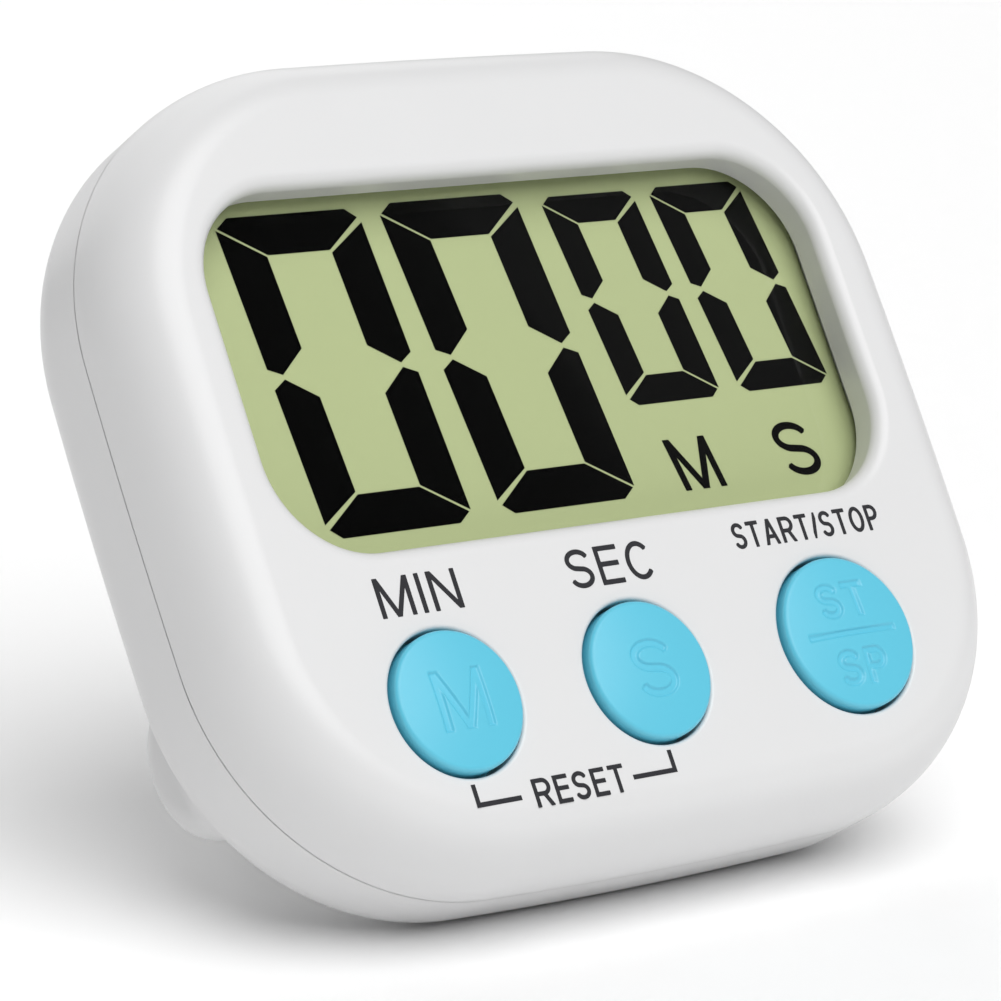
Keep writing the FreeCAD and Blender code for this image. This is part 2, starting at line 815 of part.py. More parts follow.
def stand():
    """A U-shaped frame, drawn folded up the back and then turned open to where it stands."""
    half = stand_thickness / 2
    low, high = stand_axis_z - half, stand_axis_z + half
    outer = stand_inner_half + stand_arm_width
    tip = stand_axis_y + stand_length()
    frame = box(-outer, outer, stand_axis_y, tip, low, high)
    corners = [e for e in upright_edges(frame) if e.BoundBox.YMax > tip - tiny]
    frame = frame.makeFillet(stand_corner, corners)
    tip_edges = [e for e in frame.Edges if e.BoundBox.YMin > tip - stand_corner - tiny
                 and e.BoundBox.ZLength < tiny]
    frame = frame.makeFillet(half * stand_tip_fill, tip_edges)
    inner_tip = tip - stand_bar_width
    frame = frame.cut(box(-stand_inner_half, stand_inner_half, stand_axis_y - past, inner_tip,
                          low - past, high + past))
    eyes = []
    for side in (-1, 1):
        x0 = min(side * stand_inner_half, side * outer)
        eyes.append(cross_rod(x0, x0 + stand_arm_width, stand_axis_y, stand_axis_z, stand_eye_radius))
    frame = fuse_all([frame] + eyes)
    opened = 90 + stand_rake_deg - lean_deg
    frame.rotate(vec(0, stand_axis_y, stand_axis_z), vec(1, 0, 0), -opened)
    heels = []
    for side in (-1, 1):
        x0 = min(side * stand_inner_half, side * outer)
        heels.append(box(x0, x0 + stand_arm_width, stand_axis_y - stand_heel, stand_axis_y,
                         stand_axis_z - half, back_plane - stand_heel_gap))
    frame = fuse_all([frame] + heels)
    bore = cross_rod(-outer - past, outer + past, stand_axis_y, stand_axis_z, pin_radius + pin_clearance)
    return frame.cut(bore)


def stand_pins():
    pins = []
    reach = stand_inner_half + stand_arm_width
    root = stand_inner_half - stand_lug_gap - stand_lug_thickness
    for side in (-1, 1):
        x0, x1 = sorted((side * root, side * reach))
        pins.append(cross_rod(x0, x1, stand_axis_y, stand_axis_z, pin_radius))
    return Part.makeCompound(pins)


# ---- magnet, buzzer -----------------------------------------------------------------------------
def magnet():
    disc = rod(0, magnet_y, bulge_back, bulge_back + magnet_thickness, magnet_radius)
    return disc.makeChamfer(magnet_chamfer, edges_at(disc, bulge_back))


def foam_ring():
    ring = rod(buzzer_x, buzzer_y, back_inner, back_inner + foam_thickness, buzzer_radius)
    return ring.cut(rod(buzzer_x, buzzer_y, back_inner, back_inner + foam_thickness,
                        buzzer_radius - foam_width))


def buzzer_plate():
    low = back_inner + foam_thickness
    return rod(buzzer_x, buzzer_y, low, low + buzzer_plate_thickness, buzzer_radius)


def buzzer_ceramic():
    low = back_inner + foam_thickness + buzzer_plate_thickness
    return rod(buzzer_x, buzzer_y, low, low + ceramic_thickness, ceramic_radius)


# ---- screws -------------------------------------------------------------------------------------
def slotted_screw(x, y, head_low, head_height, head_radius, shank_radius, tip):
    head = rod(x, y, head_low, head_low + head_height, head_radius)
    shank = rod(x, y, head_low + head_height, tip, shank_radius)
    reach = head_radius * screw_slot_share
    half = screw_slot_width / 2
    slot_top = head_low + screw_slot_depth
    long_slot = box(x - reach, x + reach, y - half, y + half, head_low, slot_top)
    cross_slot = box(x - half, x + half, y - reach, y + reach, head_low, slot_top)
    return fuse_all([head, shank]).cut(long_slot).cut(cross_slot)


def case_screws():
    low = back_plane + head_sink - case_screw_head_height
    return Part.makeCompound([
        slotted_screw(x, y, low, case_screw_head_height, case_screw_head_radius, case_screw_radius,
                      -case_screw_tip_depth)
        for x, y in CASE_SCREWS
    ])


def board_screws():
    low = board_back - board_screw_head_height
    return Part.makeCompound([
        slotted_screw(x, y, low, board_screw_head_height, board_screw_head_radius, board_screw_radius,
                      -board_screw_tip_depth)
        for x, y in BOARD_SCREWS
    ])


# ---- wires --------------------------------------------------------------------------------------
def wire(points):
    """A round wire through the points: straight runs joined by tangent arcs of one radius."""
    edges = []
    start = points[0]
    for index in range(1, len(points) - 1):
        corner = points[index]
        back = (points[index - 1] - corner).normalize()
        ahead = (points[index + 1] - corner).normalize()
        half_turn = (math.pi - back.getAngle(ahead)) / 2
        setback = wire_bend * math.tan(half_turn)
        first = corner + back * setback
        last = corner + ahead * setback
        inward = (back + ahead).normalize()
        centre = corner + inward * (wire_bend / math.cos(half_turn))
        middle = centre - inward * wire_bend
        edges.append(Part.LineSegment(start, first).toShape())
        edges.append(Part.Arc(first, middle, last).toShape())
        start = last
    edges.append(Part.LineSegment(start, points[-1]).toShape())
    path = Part.Wire(edges)
    heading = (points[1] - points[0]).normalize()
    ring = Part.Wire([Part.makeCircle(wire_radius, points[0], heading)])
    return path.makePipeShell([ring], True, False)


def battery_wire(contact_x, step, run):
    """From a contact's solder tail, along the top of the battery space and up to the board."""
    start_y = cell_y + tub_radius + tub_wall + contact_tail_reach + wire_radius
    z = (tail_low + tail_high) / 2
    x = contact_x + contact_thickness / 2
    return wire([
        vec(x, start_y, z),
        vec(x, start_y + step, z),
        vec(x + run, start_y + step, z),
        vec(x + run, start_y + step, board_back),
    ])


def battery_wire_red():
    return battery_wire(plus_contact_x, red_wire_rise, -battery_wire_run)


def battery_wire_black():
    return battery_wire(minus_contact_x, black_wire_rise, battery_wire_run)


def buzzer_wire(plate_x, low, y):
    end_x = buzzer_x + buzzer_wire_run
    z = low + (board_back - low) / 2
    return wire([vec(plate_x, y, low), vec(plate_x, y, z), vec(end_x, y, z), vec(end_x, y, board_back)])


def buzzer_wire_red():
    low = back_inner + foam_thickness + buzzer_plate_thickness + ceramic_thickness
    return buzzer_wire(buzzer_x + ceramic_radius / 2, low, buzzer_y + buzzer_wire_spread)


def buzzer_wire_black():
    low = back_inner + foam_thickness + buzzer_plate_thickness
    return buzzer_wire(buzzer_x + ceramic_radius + buzzer_wire_edge, low, buzzer_y - buzzer_wire_spread)


# ---- all pieces, leaned back on the open stand ---------------------------------------------------
def pieces():
    made = {
        "front_shell": front_shell(),
        "rear_shell": rear_shell(),
        "battery_door": battery_door(),
        "display_window": display_window(),
        "front_polariser": front_polariser(),
        "front_glass": front_glass(),
        "rear_glass": rear_glass(),
        "reflector": reflector(),
        "display_holder": display_holder(),
        "zebra_strip": zebra_strip(),
        "circuit_board": circuit_board(),
        "contact_pads": contact_pads(),
        "chip_blob": chip_blob(),
        "clock_crystal": clock_crystal(),
        "boost_coil": boost_coil(),
        "capacitors": capacitors(),
        "resistors": resistors(),
        "transistor": transistor(),
        "battery_can": battery_can(),
        "battery_sleeve": battery_sleeve(),
        "plus_contact": plus_contact(),
        "minus_contact": minus_contact(),
        "minus_spring": minus_spring(),
        "stand": stand(),
        "stand_pins": stand_pins(),
        "magnet": magnet(),
        "foam_ring": foam_ring(),
        "buzzer_plate": buzzer_plate(),
        "buzzer_ceramic": buzzer_ceramic(),
        "case_screws": case_screws(),
        "board_screws": board_screws(),
        "battery_wire_red": battery_wire_red(),
        "battery_wire_black": battery_wire_black(),
        "buzzer_wire_red": buzzer_wire_red(),
        "buzzer_wire_black": buzzer_wire_black(),
    }
    for name in BUTTONS:
        made["button_" + name] = button_cap(name)
        made["dome_" + name] = rubber_dome(name)
        made["pill_" + name] = carbon_pill(name)
    return made


def stand_up(made):
    """Leans every piece back and sets the whole timer on Z = 0, centred over the origin."""
    for shape in made.values():
        shape.rotate(vec(0, 0, 0), vec(1, 0, 0), 90 - lean_deg)
    reach = FreeCAD.BoundBox()
    for name in ("front_shell", "rear_shell", "battery_door", "stand", "button_start_stop"):
        reach.add(made[name].optimalBoundingBox(False, False))
    shift = vec(-reach.Center.x, -reach.Center.y, -reach.ZMin)
    for shape in made.values():
        shape.translate(shift)


def main():
    made = pieces()
    stand_up(made)
    os.makedirs("parts", exist_ok=True)
    for name, shape in made.items():
        if not shape.isValid():
            print("not valid:", name)
        shape.exportStep("parts/" + name + ".step")
    print("pieces", len(made), "stand length", round(stand_length(), 3))


main()
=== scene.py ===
import json
import math

import bpy
import numpy as np
from mathutils import Matrix, Vector
from mathutils.geometry import delaunay_2d_cdt, tessellate_polygon


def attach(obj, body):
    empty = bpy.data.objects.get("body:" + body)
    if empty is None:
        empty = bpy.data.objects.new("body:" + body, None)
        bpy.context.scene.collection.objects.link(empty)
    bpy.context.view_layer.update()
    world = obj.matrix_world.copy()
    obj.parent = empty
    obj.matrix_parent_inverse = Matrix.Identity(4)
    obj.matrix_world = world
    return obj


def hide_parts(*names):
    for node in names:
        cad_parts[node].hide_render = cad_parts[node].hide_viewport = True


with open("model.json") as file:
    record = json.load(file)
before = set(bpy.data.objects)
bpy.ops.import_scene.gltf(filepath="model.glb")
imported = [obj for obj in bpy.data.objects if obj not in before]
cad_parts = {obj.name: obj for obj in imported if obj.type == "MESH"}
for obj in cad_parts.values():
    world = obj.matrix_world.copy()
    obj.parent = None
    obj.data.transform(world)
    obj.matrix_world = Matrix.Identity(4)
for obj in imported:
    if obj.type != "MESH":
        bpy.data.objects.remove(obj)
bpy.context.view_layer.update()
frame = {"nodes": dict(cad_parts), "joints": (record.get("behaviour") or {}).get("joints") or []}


# ---- Front cover --------------------------------------------------------------------------------
# A deep white ABS shell, injection moulded with a satin gloss. Its outline is four shallow bows joined
# by round corners, its front edge is one long soft curve, and the display sits in a recess with a
# rounded lip. A thin lip behind the parting line fits inside the back cover.

# The timer is drawn in millimetres in its own frame: X to the right, Y up the face, Z out of the face,
# with the origin at the middle of the face. The buttons press straight back, so their joint gives the
# direction, and the front shell gives the origin.
press_way = next(j["axis"] for j in frame["joints"] if j["name"] == "min_press")
out_of_face = -Vector(press_way).normalized()
to_the_right = Vector((1, 0, 0))
up_the_face = out_of_face.cross(to_the_right)
timer_turn = Matrix((to_the_right, up_the_face, out_of_face))
mm = 0.001


def seen_in_timer(node, middle=Vector((0, 0, 0))):
    """Lowest and highest corner of a CAD node along the timer's own directions, from middle, in mm."""
    points = np.array([timer_turn @ (v.co - middle) for v in frame["nodes"][node].data.vertices]) / mm
    return points.min(0), points.max(0)


shell_low, shell_high = seen_in_timer("front_shell")
face_spot = Vector((*((shell_low + shell_high)[:2] / 2), shell_high[2]))
face_middle = timer_turn.transposed() @ (face_spot * mm)
timer_frame = Matrix.Translation(face_middle) @ timer_turn.transposed().to_4x4() @ Matrix.Scale(mm, 4)


def extent(node):
    """Lowest and highest corner of a CAD node in the timer's frame."""
    return seen_in_timer(node, face_middle)


case_width, case_height = (shell_high - shell_low)[:2]
side_bow, top_bow, bottom_bow = 590.0, 1160.0, 507.0
top_corner, bottom_corner = 24.1, 22.4
wall, face_wall = 1.8, 2.0
parting_z = -8.5
edge_inset, edge_depth = 5.4, 8.2
rim_round, rim_gap = 0.11, 0.03
lip_inset, lip_end_z = 1.0, -10.0
window_low, window_high = extent("display_window")
pane_overlap = 0.9
window_width, window_height = (window_high - window_low)[:2] - 2 * pane_overlap
window_x, window_y = (window_high + window_low)[:2] / 2
window_corner, recess_z = 8.5, window_high[2]
recess_round, recess_wall, recess_draft = 1.25, 1.2, 0.35
button_flange, button_gap = 0.6, 0.3
guide_wall, guide_z, hole_round = 1.1, -3.2, 0.35
post_radius, post_hole, post_end_z, post_hole_z = 2.6, 1.02, -12.0, -6.5
board_post_radius, board_post_hole, board_post_end_z, board_post_hole_z = 2.0, 0.72, -10.0, -6.0
post_root_z = -1.6
rim_steps, edge_steps, inner_steps, lip_steps, post_steps = 4, 26, 12, 10, 32

# Each button's middle, and the radius of the hole that it slides in.
buttons = {}
for name in ("min", "sec", "start_stop"):
    cap_low, cap_high = extent("button_" + name)
    cap_middle = complex(*((cap_low + cap_high)[:2] / 2))
    buttons[name] = (cap_middle, (cap_high[0] - cap_low[0]) / 2 - button_flange)


def corner_centre(side, side_reach, end, end_reach, near):
    """Where two circles cross, on the side of the point named near. A point is a complex number."""
    across = end - side
    along = (side_reach**2 - end_reach**2 + abs(across) ** 2) / (2 * abs(across))
    rise = math.sqrt(side_reach**2 - along**2)
    crossings = [side + across / abs(across) * complex(along, way * rise) for way in (1, -1)]
    return min(crossings, key=lambda crossing: abs(crossing - near))


def case_arcs():
    """The case outline as (centre, radius, first direction, last direction), counter-clockwise."""
    right = complex(case_width / 2 - side_bow, 0)
    top = complex(0, case_height / 2 - top_bow)
    bottom = complex(0, bottom_bow - case_height / 2)
    sides = [(right, side_bow), (top, top_bow), (-right, side_bow), (bottom, bottom_bow)]
    rounds = [top_corner, top_corner, bottom_corner, bottom_corner]
    signs = [(1, 1), (-1, 1), (-1, -1), (1, -1)]
    corners = []
    for index, (radius, (sign_x, sign_y)) in enumerate(zip(rounds, signs)):
        (one, one_bow), (other, other_bow) = sides[index], sides[(index + 1) % 4]
        near = complex(sign_x * case_width / 2, sign_y * case_height / 2)
        corners.append(corner_centre(one, one_bow - radius, other, other_bow - radius, near))
    arcs = []
    for index, (centre, bow) in enumerate(sides):
        before, after = corners[index - 1], corners[index]
        following = sides[(index + 1) % 4][0]
        arcs.append((centre, bow, before - centre, after - centre))
        arcs.append((after, rounds[index], after - centre, after - following))
    return [(c, r, first / abs(first), last / abs(last)) for c, r, first, last in arcs]


def case_outline(inset, steps=46):
    """Points round the case outline, drawn in by inset. Each arc has that many steps."""
    points = []
    for centre, radius, first, last in case_arcs():
        sweep = np.angle(last / first)
        turn = first * np.exp(1j * sweep * np.arange(steps) / steps)
        points.append(centre + turn * (radius - inset))
    return np.concatenate(points)


def window_outline(margin, steps=20):
    """Points round the display opening, made larger by margin."""
    half = complex(window_width / 2 - window_corner, window_height / 2 - window_corner)
    quarter = np.exp(0.5j * math.pi * np.arange(steps + 1) / steps)
    points = []
    for index, (sign_x, sign_y) in enumerate(((1, 1), (-1, 1), (-1, -1), (1, -1))):
        centre = complex(window_x + sign_x * half.real, window_y + sign_y * half.imag)
        points.append(centre + 1j**index * quarter * (window_corner + margin))
    return np.concatenate(points)


def circle(centre, radius, steps=96):
    """Points round a circle."""
    return centre + radius * np.exp(2j * math.pi * np.arange(steps) / steps)


class Skin:
    """A mesh put together from rings of points, in mm in the timer's frame."""

    def __init__(self):
        self.points = []
        self.faces = []

    def ring(self, outline, z):
        """Adds the outline's points at that height, or at a height for each, and gives their numbers."""
        first = len(self.points)
        heights = np.broadcast_to(z, len(outline))
        self.points += [(p.real, p.imag, float(h)) for p, h in zip(outline, heights)]
        return list(range(first, len(self.points)))

    def band(self, one, other):
        """Faces between two rings. They look outwards when the band runs towards +Z."""
        count = len(one)
        for i in range(count):
            j = (i + 1) % count
            self.faces.append((one[i], one[j], other[j], other[i]))

    def bands(self, rings):
        """Faces from each ring to the next."""
        for one, other in zip(rings, rings[1:]):
            self.band(one, other)

    def cover(self, rings, facing):
        """Flat faces inside the first ring and outside the others, facing +1 or -1 along Z."""
        loops = [[Vector(self.points[i]) for i in ring] for ring in rings]
        numbers = [i for ring in rings for i in ring]
        for corners in tessellate_polygon(loops):
            a, b, c = (numbers[i] for i in corners)
            pa, pb, pc = (Vector(self.points[i]) for i in (a, b, c))
            area = (pb - pa).cross(pc - pa).z
            if abs(area) > 1e-9:
                self.faces.append((a, b, c) if area * facing > 0 else (a, c, b))


def make_piece(name, points, faces, material, body, replaced=(), normals=None):
    """A smooth piece that rides on a body and stands for the replaced CAD nodes."""
    mesh = bpy.data.meshes.new(name)
    mesh.from_pydata([tuple(p) for p in points], [], [tuple(f) for f in faces])
    mesh.transform(timer_frame)
    mesh.polygons.foreach_set("use_smooth", np.ones(len(mesh.polygons), bool))
    mesh.materials.append(material)
    if normals is not None:
        turned = normals @ np.array(timer_turn)
        mesh.normals_split_custom_set_from_vertices([tuple(n) for n in turned])
    piece = bpy.data.objects.new(name, mesh)
    bpy.context.scene.collection.objects.link(piece)
    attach(piece, body)
    if replaced:
        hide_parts(*replaced)
    return piece


def keep_creases(piece, angle_deg=32):
    """Edges sharper than the angle stay crisp, and broad faces set the shading of narrow ones."""
    piece.data.set_sharp_from_angle(angle=math.radians(angle_deg))
    weigh = piece.modifiers.new("broad_faces", "WEIGHTED_NORMAL")
    weigh.keep_sharp = True
    weigh.weight = 100


def noise(nodes, links, size, detail=2.0):
    """Noise with features of that size in metres, fixed to the piece."""
    place = nodes.new("ShaderNodeTexCoord")
    pattern = nodes.new("ShaderNodeTexNoise")
    pattern.inputs["Scale"].default_value = 1 / size
    pattern.inputs["Detail"].default_value = detail
    links.new(place.outputs["Object"], pattern.inputs["Vector"])
    return pattern


def solid_finish(name, colour, roughness, wander=0.03, patch=0.012, grain=0.00022,
                 grain_height=0.000004, metal=0.0, shine=0.5):
    """A solid material with a fine surface grain. Its colour drifts by wander over each patch."""
    rough_wander = 0.05
    material = bpy.data.materials.new(name)
    material.use_nodes = True
    nodes, links = material.node_tree.nodes, material.node_tree.links
    shader = nodes["Principled BSDF"]
    shader.inputs["Metallic"].default_value = metal
    shader.inputs["Specular IOR Level"].default_value = shine
    drift = noise(nodes, links, patch)
    tint = nodes.new("ShaderNodeMix")
    tint.data_type = "RGBA"
    tint.inputs["A"].default_value = [c * (1 - wander) for c in colour] + [1]
    tint.inputs["B"].default_value = [min(1, c * (1 + wander)) for c in colour] + [1]
    links.new(drift.outputs["Fac"], tint.inputs["Factor"])
    links.new(tint.outputs["Result"], shader.inputs["Base Color"])
    fine = noise(nodes, links, grain, 4.0)
    gloss = nodes.new("ShaderNodeMapRange")
    gloss.inputs["From Min"].default_value = 0.3
    gloss.inputs["From Max"].default_value = 0.7
    gloss.inputs["To Min"].default_value = roughness - rough_wander
    gloss.inputs["To Max"].default_value = roughness + rough_wander
    links.new(fine.outputs["Fac"], gloss.inputs["Value"])
    links.new(gloss.outputs["Result"], shader.inputs["Roughness"])
    bump = nodes.new("ShaderNodeBump")
    bump.inputs["Strength"].default_value = 1.0
    bump.inputs["Distance"].default_value = grain_height
    links.new(fine.outputs["Fac"], bump.inputs["Height"])
    links.new(bump.outputs["Normal"], shader.inputs["Normal"])
    return material


white_plastic = solid_finish("white_plastic", (0.705, 0.705, 0.708), 0.34, wander=0.012)


def quarter_turn(steps):
    """Angles from nothing to a right angle."""
    return [math.pi / 2 * k / steps for k in range(steps + 1)]


def front_cover():
    """The shell, its openings with their collars, and the posts that its screws cut into."""
    skin = Skin()
    rim_z = parting_z + rim_gap
    outer = [(rim_round * (1 - math.sin(t)), rim_z + rim_round * (1 - math.cos(t)))
             for t in quarter_turn(rim_steps)]
    outer += [(edge_inset * (1 - math.cos(t)), -edge_depth + edge_depth * math.sin(t))
              for t in quarter_turn(edge_steps)]
    inner_inset, inner_depth = edge_inset - wall, edge_depth - face_wall
    inner = [(edge_inset - inner_inset * math.sin(t), -edge_depth + inner_depth * math.cos(t))
             for t in quarter_turn(inner_steps)]
    inner += [(wall, lip_end_z), (lip_inset, lip_end_z), (lip_inset, rim_z), outer[0]]
    inner_rings = [skin.ring(case_outline(inset), z) for inset, z in inner[:-1]]
    outer_rings = [skin.ring(case_outline(inset), z) for inset, z in outer]
    skin.bands(inner_rings + outer_rings)
    openings, linings = [], []
    holes = [(window_outline, recess_round, recess_z, recess_wall, recess_draft)]
    for centre, hole in buttons.values():
        holes.append((lambda margin, c=centre, r=hole: circle(c, r + margin), hole_round, guide_z,
                      guide_wall, 0))
    for outline, lip_round, depth, collar, draft in holes:
        rings = [skin.ring(outline(lip_round * (1 - math.sin(t))), -lip_round * (1 - math.cos(t)))
                 for t in quarter_turn(lip_steps)]
        for margin, z in ((draft, depth), (collar, depth), (collar, -face_wall)):
            rings.append(skin.ring(outline(margin), z))
        skin.bands(rings)
        openings.append(rings[0])
        linings.append(rings[-1])
    skin.cover([outer_rings[-1]] + openings, 1)
    skin.cover([inner_rings[0]] + linings, -1)
    for node, radius, hole, end_z, hole_z in (
        ("case_screws", post_radius, post_hole, post_end_z, post_hole_z),
        ("board_screws", board_post_radius, board_post_hole, board_post_end_z, board_post_hole_z),
    ):
        for centre in screw_centres(node):
            rings = [skin.ring(circle(centre, r, post_steps), z) for r, z in
                     ((hole, hole_z), (hole, end_z), (radius, end_z), (radius, post_root_z))]
            skin.bands(rings)
            skin.cover([rings[0]], -1)
            skin.cover([rings[-1]], 1)
    piece = make_piece("front_cover", skin.points, skin.faces, white_plastic, "root",
                       ["front_shell"])
    keep_creases(piece)


def screw_centres(node):
    """The axes of the screws in a CAD node, one in each corner of the case."""
    vertices = frame["nodes"][node].data.vertices
    points = np.array([timer_turn @ (v.co - face_middle) for v in vertices]) / mm
    centres = []
    for sign_x in (-1, 1):
        for sign_y in (-1, 1):
            near = points[(points[:, 0] * sign_x > 0) & (points[:, 1] * sign_y > 0)]
            centres.append(complex(*((near.min(0) + near.max(0))[:2] / 2)))
    return centres


front_cover()


# ---- Printed legends ----------------------------------------------------------------------------
# Dark grey ink, pad printed on the face in a plain sans-serif: the generic function of each button,
# and a pair of corner brackets that tie the two left-hand buttons to the reset function.
ink_height = 0.03
legend_grey = (0.030, 0.030, 0.034)

# Each legend: its words, its left and right ends, its foot and top, and how thick its line is.
legends = {
    "min": ("MIN", (-25.75, -17.75), (-13.95, -10.6), 0.43),
    "sec": ("SEC", (-6.7, 2.15), (-13.85, -10.5), 0.43),
    "start_stop": ("START/STOP", (11.2, 27.4), (-12.5, -10.2), 0.34),
    "reset": ("RESET", (-16.9, -7.7), (-30.95, -28.6), 0.36),
}
bracket_stroke, bracket_y, bracket_top = 0.4, -29.9, -28.2
brackets = ((-22.4, -18.2), (-2.6, -6.9))

# The width of each letter and the gap between letters, as shares of the letters' height.
letter_gap = 0.2
letter_widths = {"M": 0.94, "I": 0.13, "N": 0.79, "S": 0.76, "E": 0.72, "C": 0.84, "T": 0.76, "A": 0.90,
                 "R": 0.86, "/": 0.38, "O": 0.90, "P": 0.76}

# Further off than anything on the timer.
far_off = 1e3

legend_ink = solid_finish("legend_ink", legend_grey, 0.6, wander=0.15, patch=0.0004, grain=0.00008,
                          shine=0.12)


def bent(centre, reach, first, last, steps=20):
    """Points of an arc with its own reach along X and Y, between two angles in degrees."""
    angles = np.radians(np.linspace(first, last, steps))
    return [centre + complex(reach.real * math.cos(a), reach.imag * math.sin(a)) for a in angles]


def pen_strokes(letter, w, h, pen):
    """The pen's paths for one capital w wide and h high. pen is half the width of its line."""
    left, right, low, high, waist = pen, w - pen, pen, h - pen, 0.53 * h
    stem = [complex(left, 0), complex(left, h)]
    if letter == "I":
        return [[complex(w / 2, 0), complex(w / 2, h)]]
    if letter == "/":
        return [[complex(0, -0.05 * h), complex(w, 1.05 * h)]]
    if letter == "E":
        bars = [[complex(left, y), complex(x, y)] for x, y in ((w, low), (0.94 * w, waist), (w, high))]
        return [stem] + bars
    if letter == "T":
        return [[complex(0, high), complex(w, high)], [complex(w / 2, 0), complex(w / 2, high)]]
    if letter == "N":
        return [stem, [complex(right, 0), complex(right, h)], past_ends(complex(left, h), complex(right, 0))]
    if letter == "M":
        foot = complex(w / 2, 0.02 * h)
        slopes = [past_ends(complex(left, h), foot), past_ends(complex(right, h), foot)]
        return [stem, [complex(right, 0), complex(right, h)]] + slopes
    if letter == "A":
        legs = [past_ends(complex(x, 0), complex(w / 2, h)) for x in (left, right)]
        return legs + [[complex(0.2 * w, 0.32 * h), complex(0.8 * w, 0.32 * h)]]
    if letter in "RP":
        waist = 0.46 * h
        bowl = complex(min(right, 0.93 * w) - (high - waist) / 2, (high + waist) / 2)
        turn = bent(bowl, complex(1, 1) * (high - waist) / 2, 90, -90)
        paths = [stem, [complex(left, high)] + turn + [complex(left, waist)]]
        if letter == "R":
            paths.append(past_ends(complex(0.56 * w, waist), complex(w - pen, 0)))
        return paths
    if letter == "S":
        reach = complex(w / 2 - pen, (h - 2 * pen) / 4)
        upper = bent(complex(w / 2, high - reach.imag), reach, 18, 245)
        lower = bent(complex(w / 2, low + reach.imag), reach, 65, -162)
        return [upper + lower]
    opening = 40 if letter == "C" else 0
    return [bent(complex(w / 2, h / 2), complex(w / 2 - pen, h / 2 - pen), opening, 360 - opening, 40)]


def past_ends(start, end):
    """A straight path run on past both ends, to be cut off level with the letter's top and foot."""
    return [start - (end - start) * 0.1, end + (end - start) * 0.1]


def letter_places(words, x0, x1, height, line):
    """Each letter's left end and width, spread so that the words just fill the space."""
    widths = [letter_widths[letter] * height for letter in words]
    fixed = sum(line for letter in words if letter == "I")
    spread = sum(width for letter, width in zip(words, widths) if letter != "I")
    gaps = letter_gap * height * (len(words) - 1)
    stretch = (x1 - x0 - fixed) / (spread + gaps)
    places = []
    for letter, width in zip(words, widths):
        width = line if letter == "I" else width * stretch
        places.append((x0, width))
        x0 += width + letter_gap * height * stretch
    return places


def letter_distance(x, y, letter, w, h, line):
    """How far a point is from the line that draws a letter, less than nothing on the line."""
    pen = line / 2
    place = x + 1j * y
    nearest = np.full(place.shape, far_off)
    for path in pen_strokes(letter, w, h, pen):
        for start, end in zip(path, path[1:]):
            local = (place - start) / (end - start) * abs(end - start)
            beyond = abs(local.real - abs(end - start) / 2) - abs(end - start) / 2
            nearest = np.minimum(nearest, np.maximum(abs(local.imag) - pen, beyond))
        for joint in path[1:-1]:
            nearest = np.minimum(nearest, abs(place - joint) - pen)
    return np.maximum(nearest, np.maximum(abs(x - w / 2) - w / 2, abs(y - h / 2) - h / 2))


def filled(distance, width, height, step=0.035):
    """The flat region where the distance is below nothing, as points and triangles.

    The edge is traced on a grid: each cell that it crosses gets one point, and edges join cells that
    share a crossed side.
    """
    axes = [np.arange(-2 * step, size + 3 * step, step) for size in (width, height)]
    field = distance(axes[0][:, None], axes[1][None, :])
    onward, spots = {}, {}
    for i, j in np.argwhere((field[:-1] < 0) != (field[1:] < 0)):
        share = field[i, j] / (field[i, j] - field[i + 1, j])
        link = [(i, j - 1), (i, j)] if field[i, j] < 0 else [(i, j), (i, j - 1)]
        onward.setdefault(link[0], []).append(link[1])
        for cell in link:
            spots.setdefault(cell, []).append((i + share, j))
    for i, j in np.argwhere((field[:, :-1] < 0) != (field[:, 1:] < 0)):
        share = field[i, j] / (field[i, j] - field[i, j + 1])
        link = [(i, j), (i - 1, j)] if field[i, j] < 0 else [(i - 1, j), (i, j)]
        onward.setdefault(link[0], []).append(link[1])
        for cell in link:
            spots.setdefault(cell, []).append((i, j + share))
    cells = list(spots)
    number = {cell: i for i, cell in enumerate(cells)}
    points = [Vector(np.mean(spots[cell], axis=0) * step - 2 * step) for cell in cells]
    edges = [(number[cell], number[ahead]) for cell, following in onward.items() for ahead in following]
    flat, _edges, faces, *_rest = delaunay_2d_cdt(points, edges, [], 1, 1e-6)
    middles = np.array([np.mean([flat[i] for i in face], axis=0) for face in faces])
    kept = distance(middles[:, 0], middles[:, 1]) < 0
    return [tuple(p) for p in flat], [tuple(face) for face, keep in zip(faces, kept) if keep]


def lettering(words, x0, x1, y0, y1, line):
    """Words as flat outlines, one for each letter."""
    outlines = []
    height = y1 - y0
    for letter, (x, width) in zip(words, letter_places(words, x0, x1, height, line)):
        flat, faces = filled(lambda u, v: letter_distance(u, v, letter, width, height, line), width, height)
        outlines.append(([(px + x, py + y0) for px, py in flat], faces))
    return outlines


def raised(flat_points, faces, base_z, top_z):
    """A flat outline given thickness: its top, its bottom and its edges."""
    count = len(flat_points)
    points = [(x, y, top_z) for x, y in flat_points] + [(x, y, base_z) for x, y in flat_points]
    sides, edges = [], {}
    for face in faces:
        for a, b in zip(face, face[1:] + face[:1]):
            edges[(a, b)] = edges.get((a, b), 0) + 1
    for a, b in edges:
        if (b, a) not in edges:
            sides.append((b, a, a + count, b + count))
    under = [tuple(i + count for i in reversed(face)) for face in faces]
    return points, list(faces) + under + sides


def upward(points, faces):
    """The faces turned so that they look out of the display or the face."""
    turned = []
    for face in faces:
        area = sum(points[a][0] * points[b][1] - points[b][0] * points[a][1]
                   for a, b in zip(face, face[1:] + face[:1]))
        turned.append(tuple(face) if area > 0 else tuple(reversed(face)))
    return turned


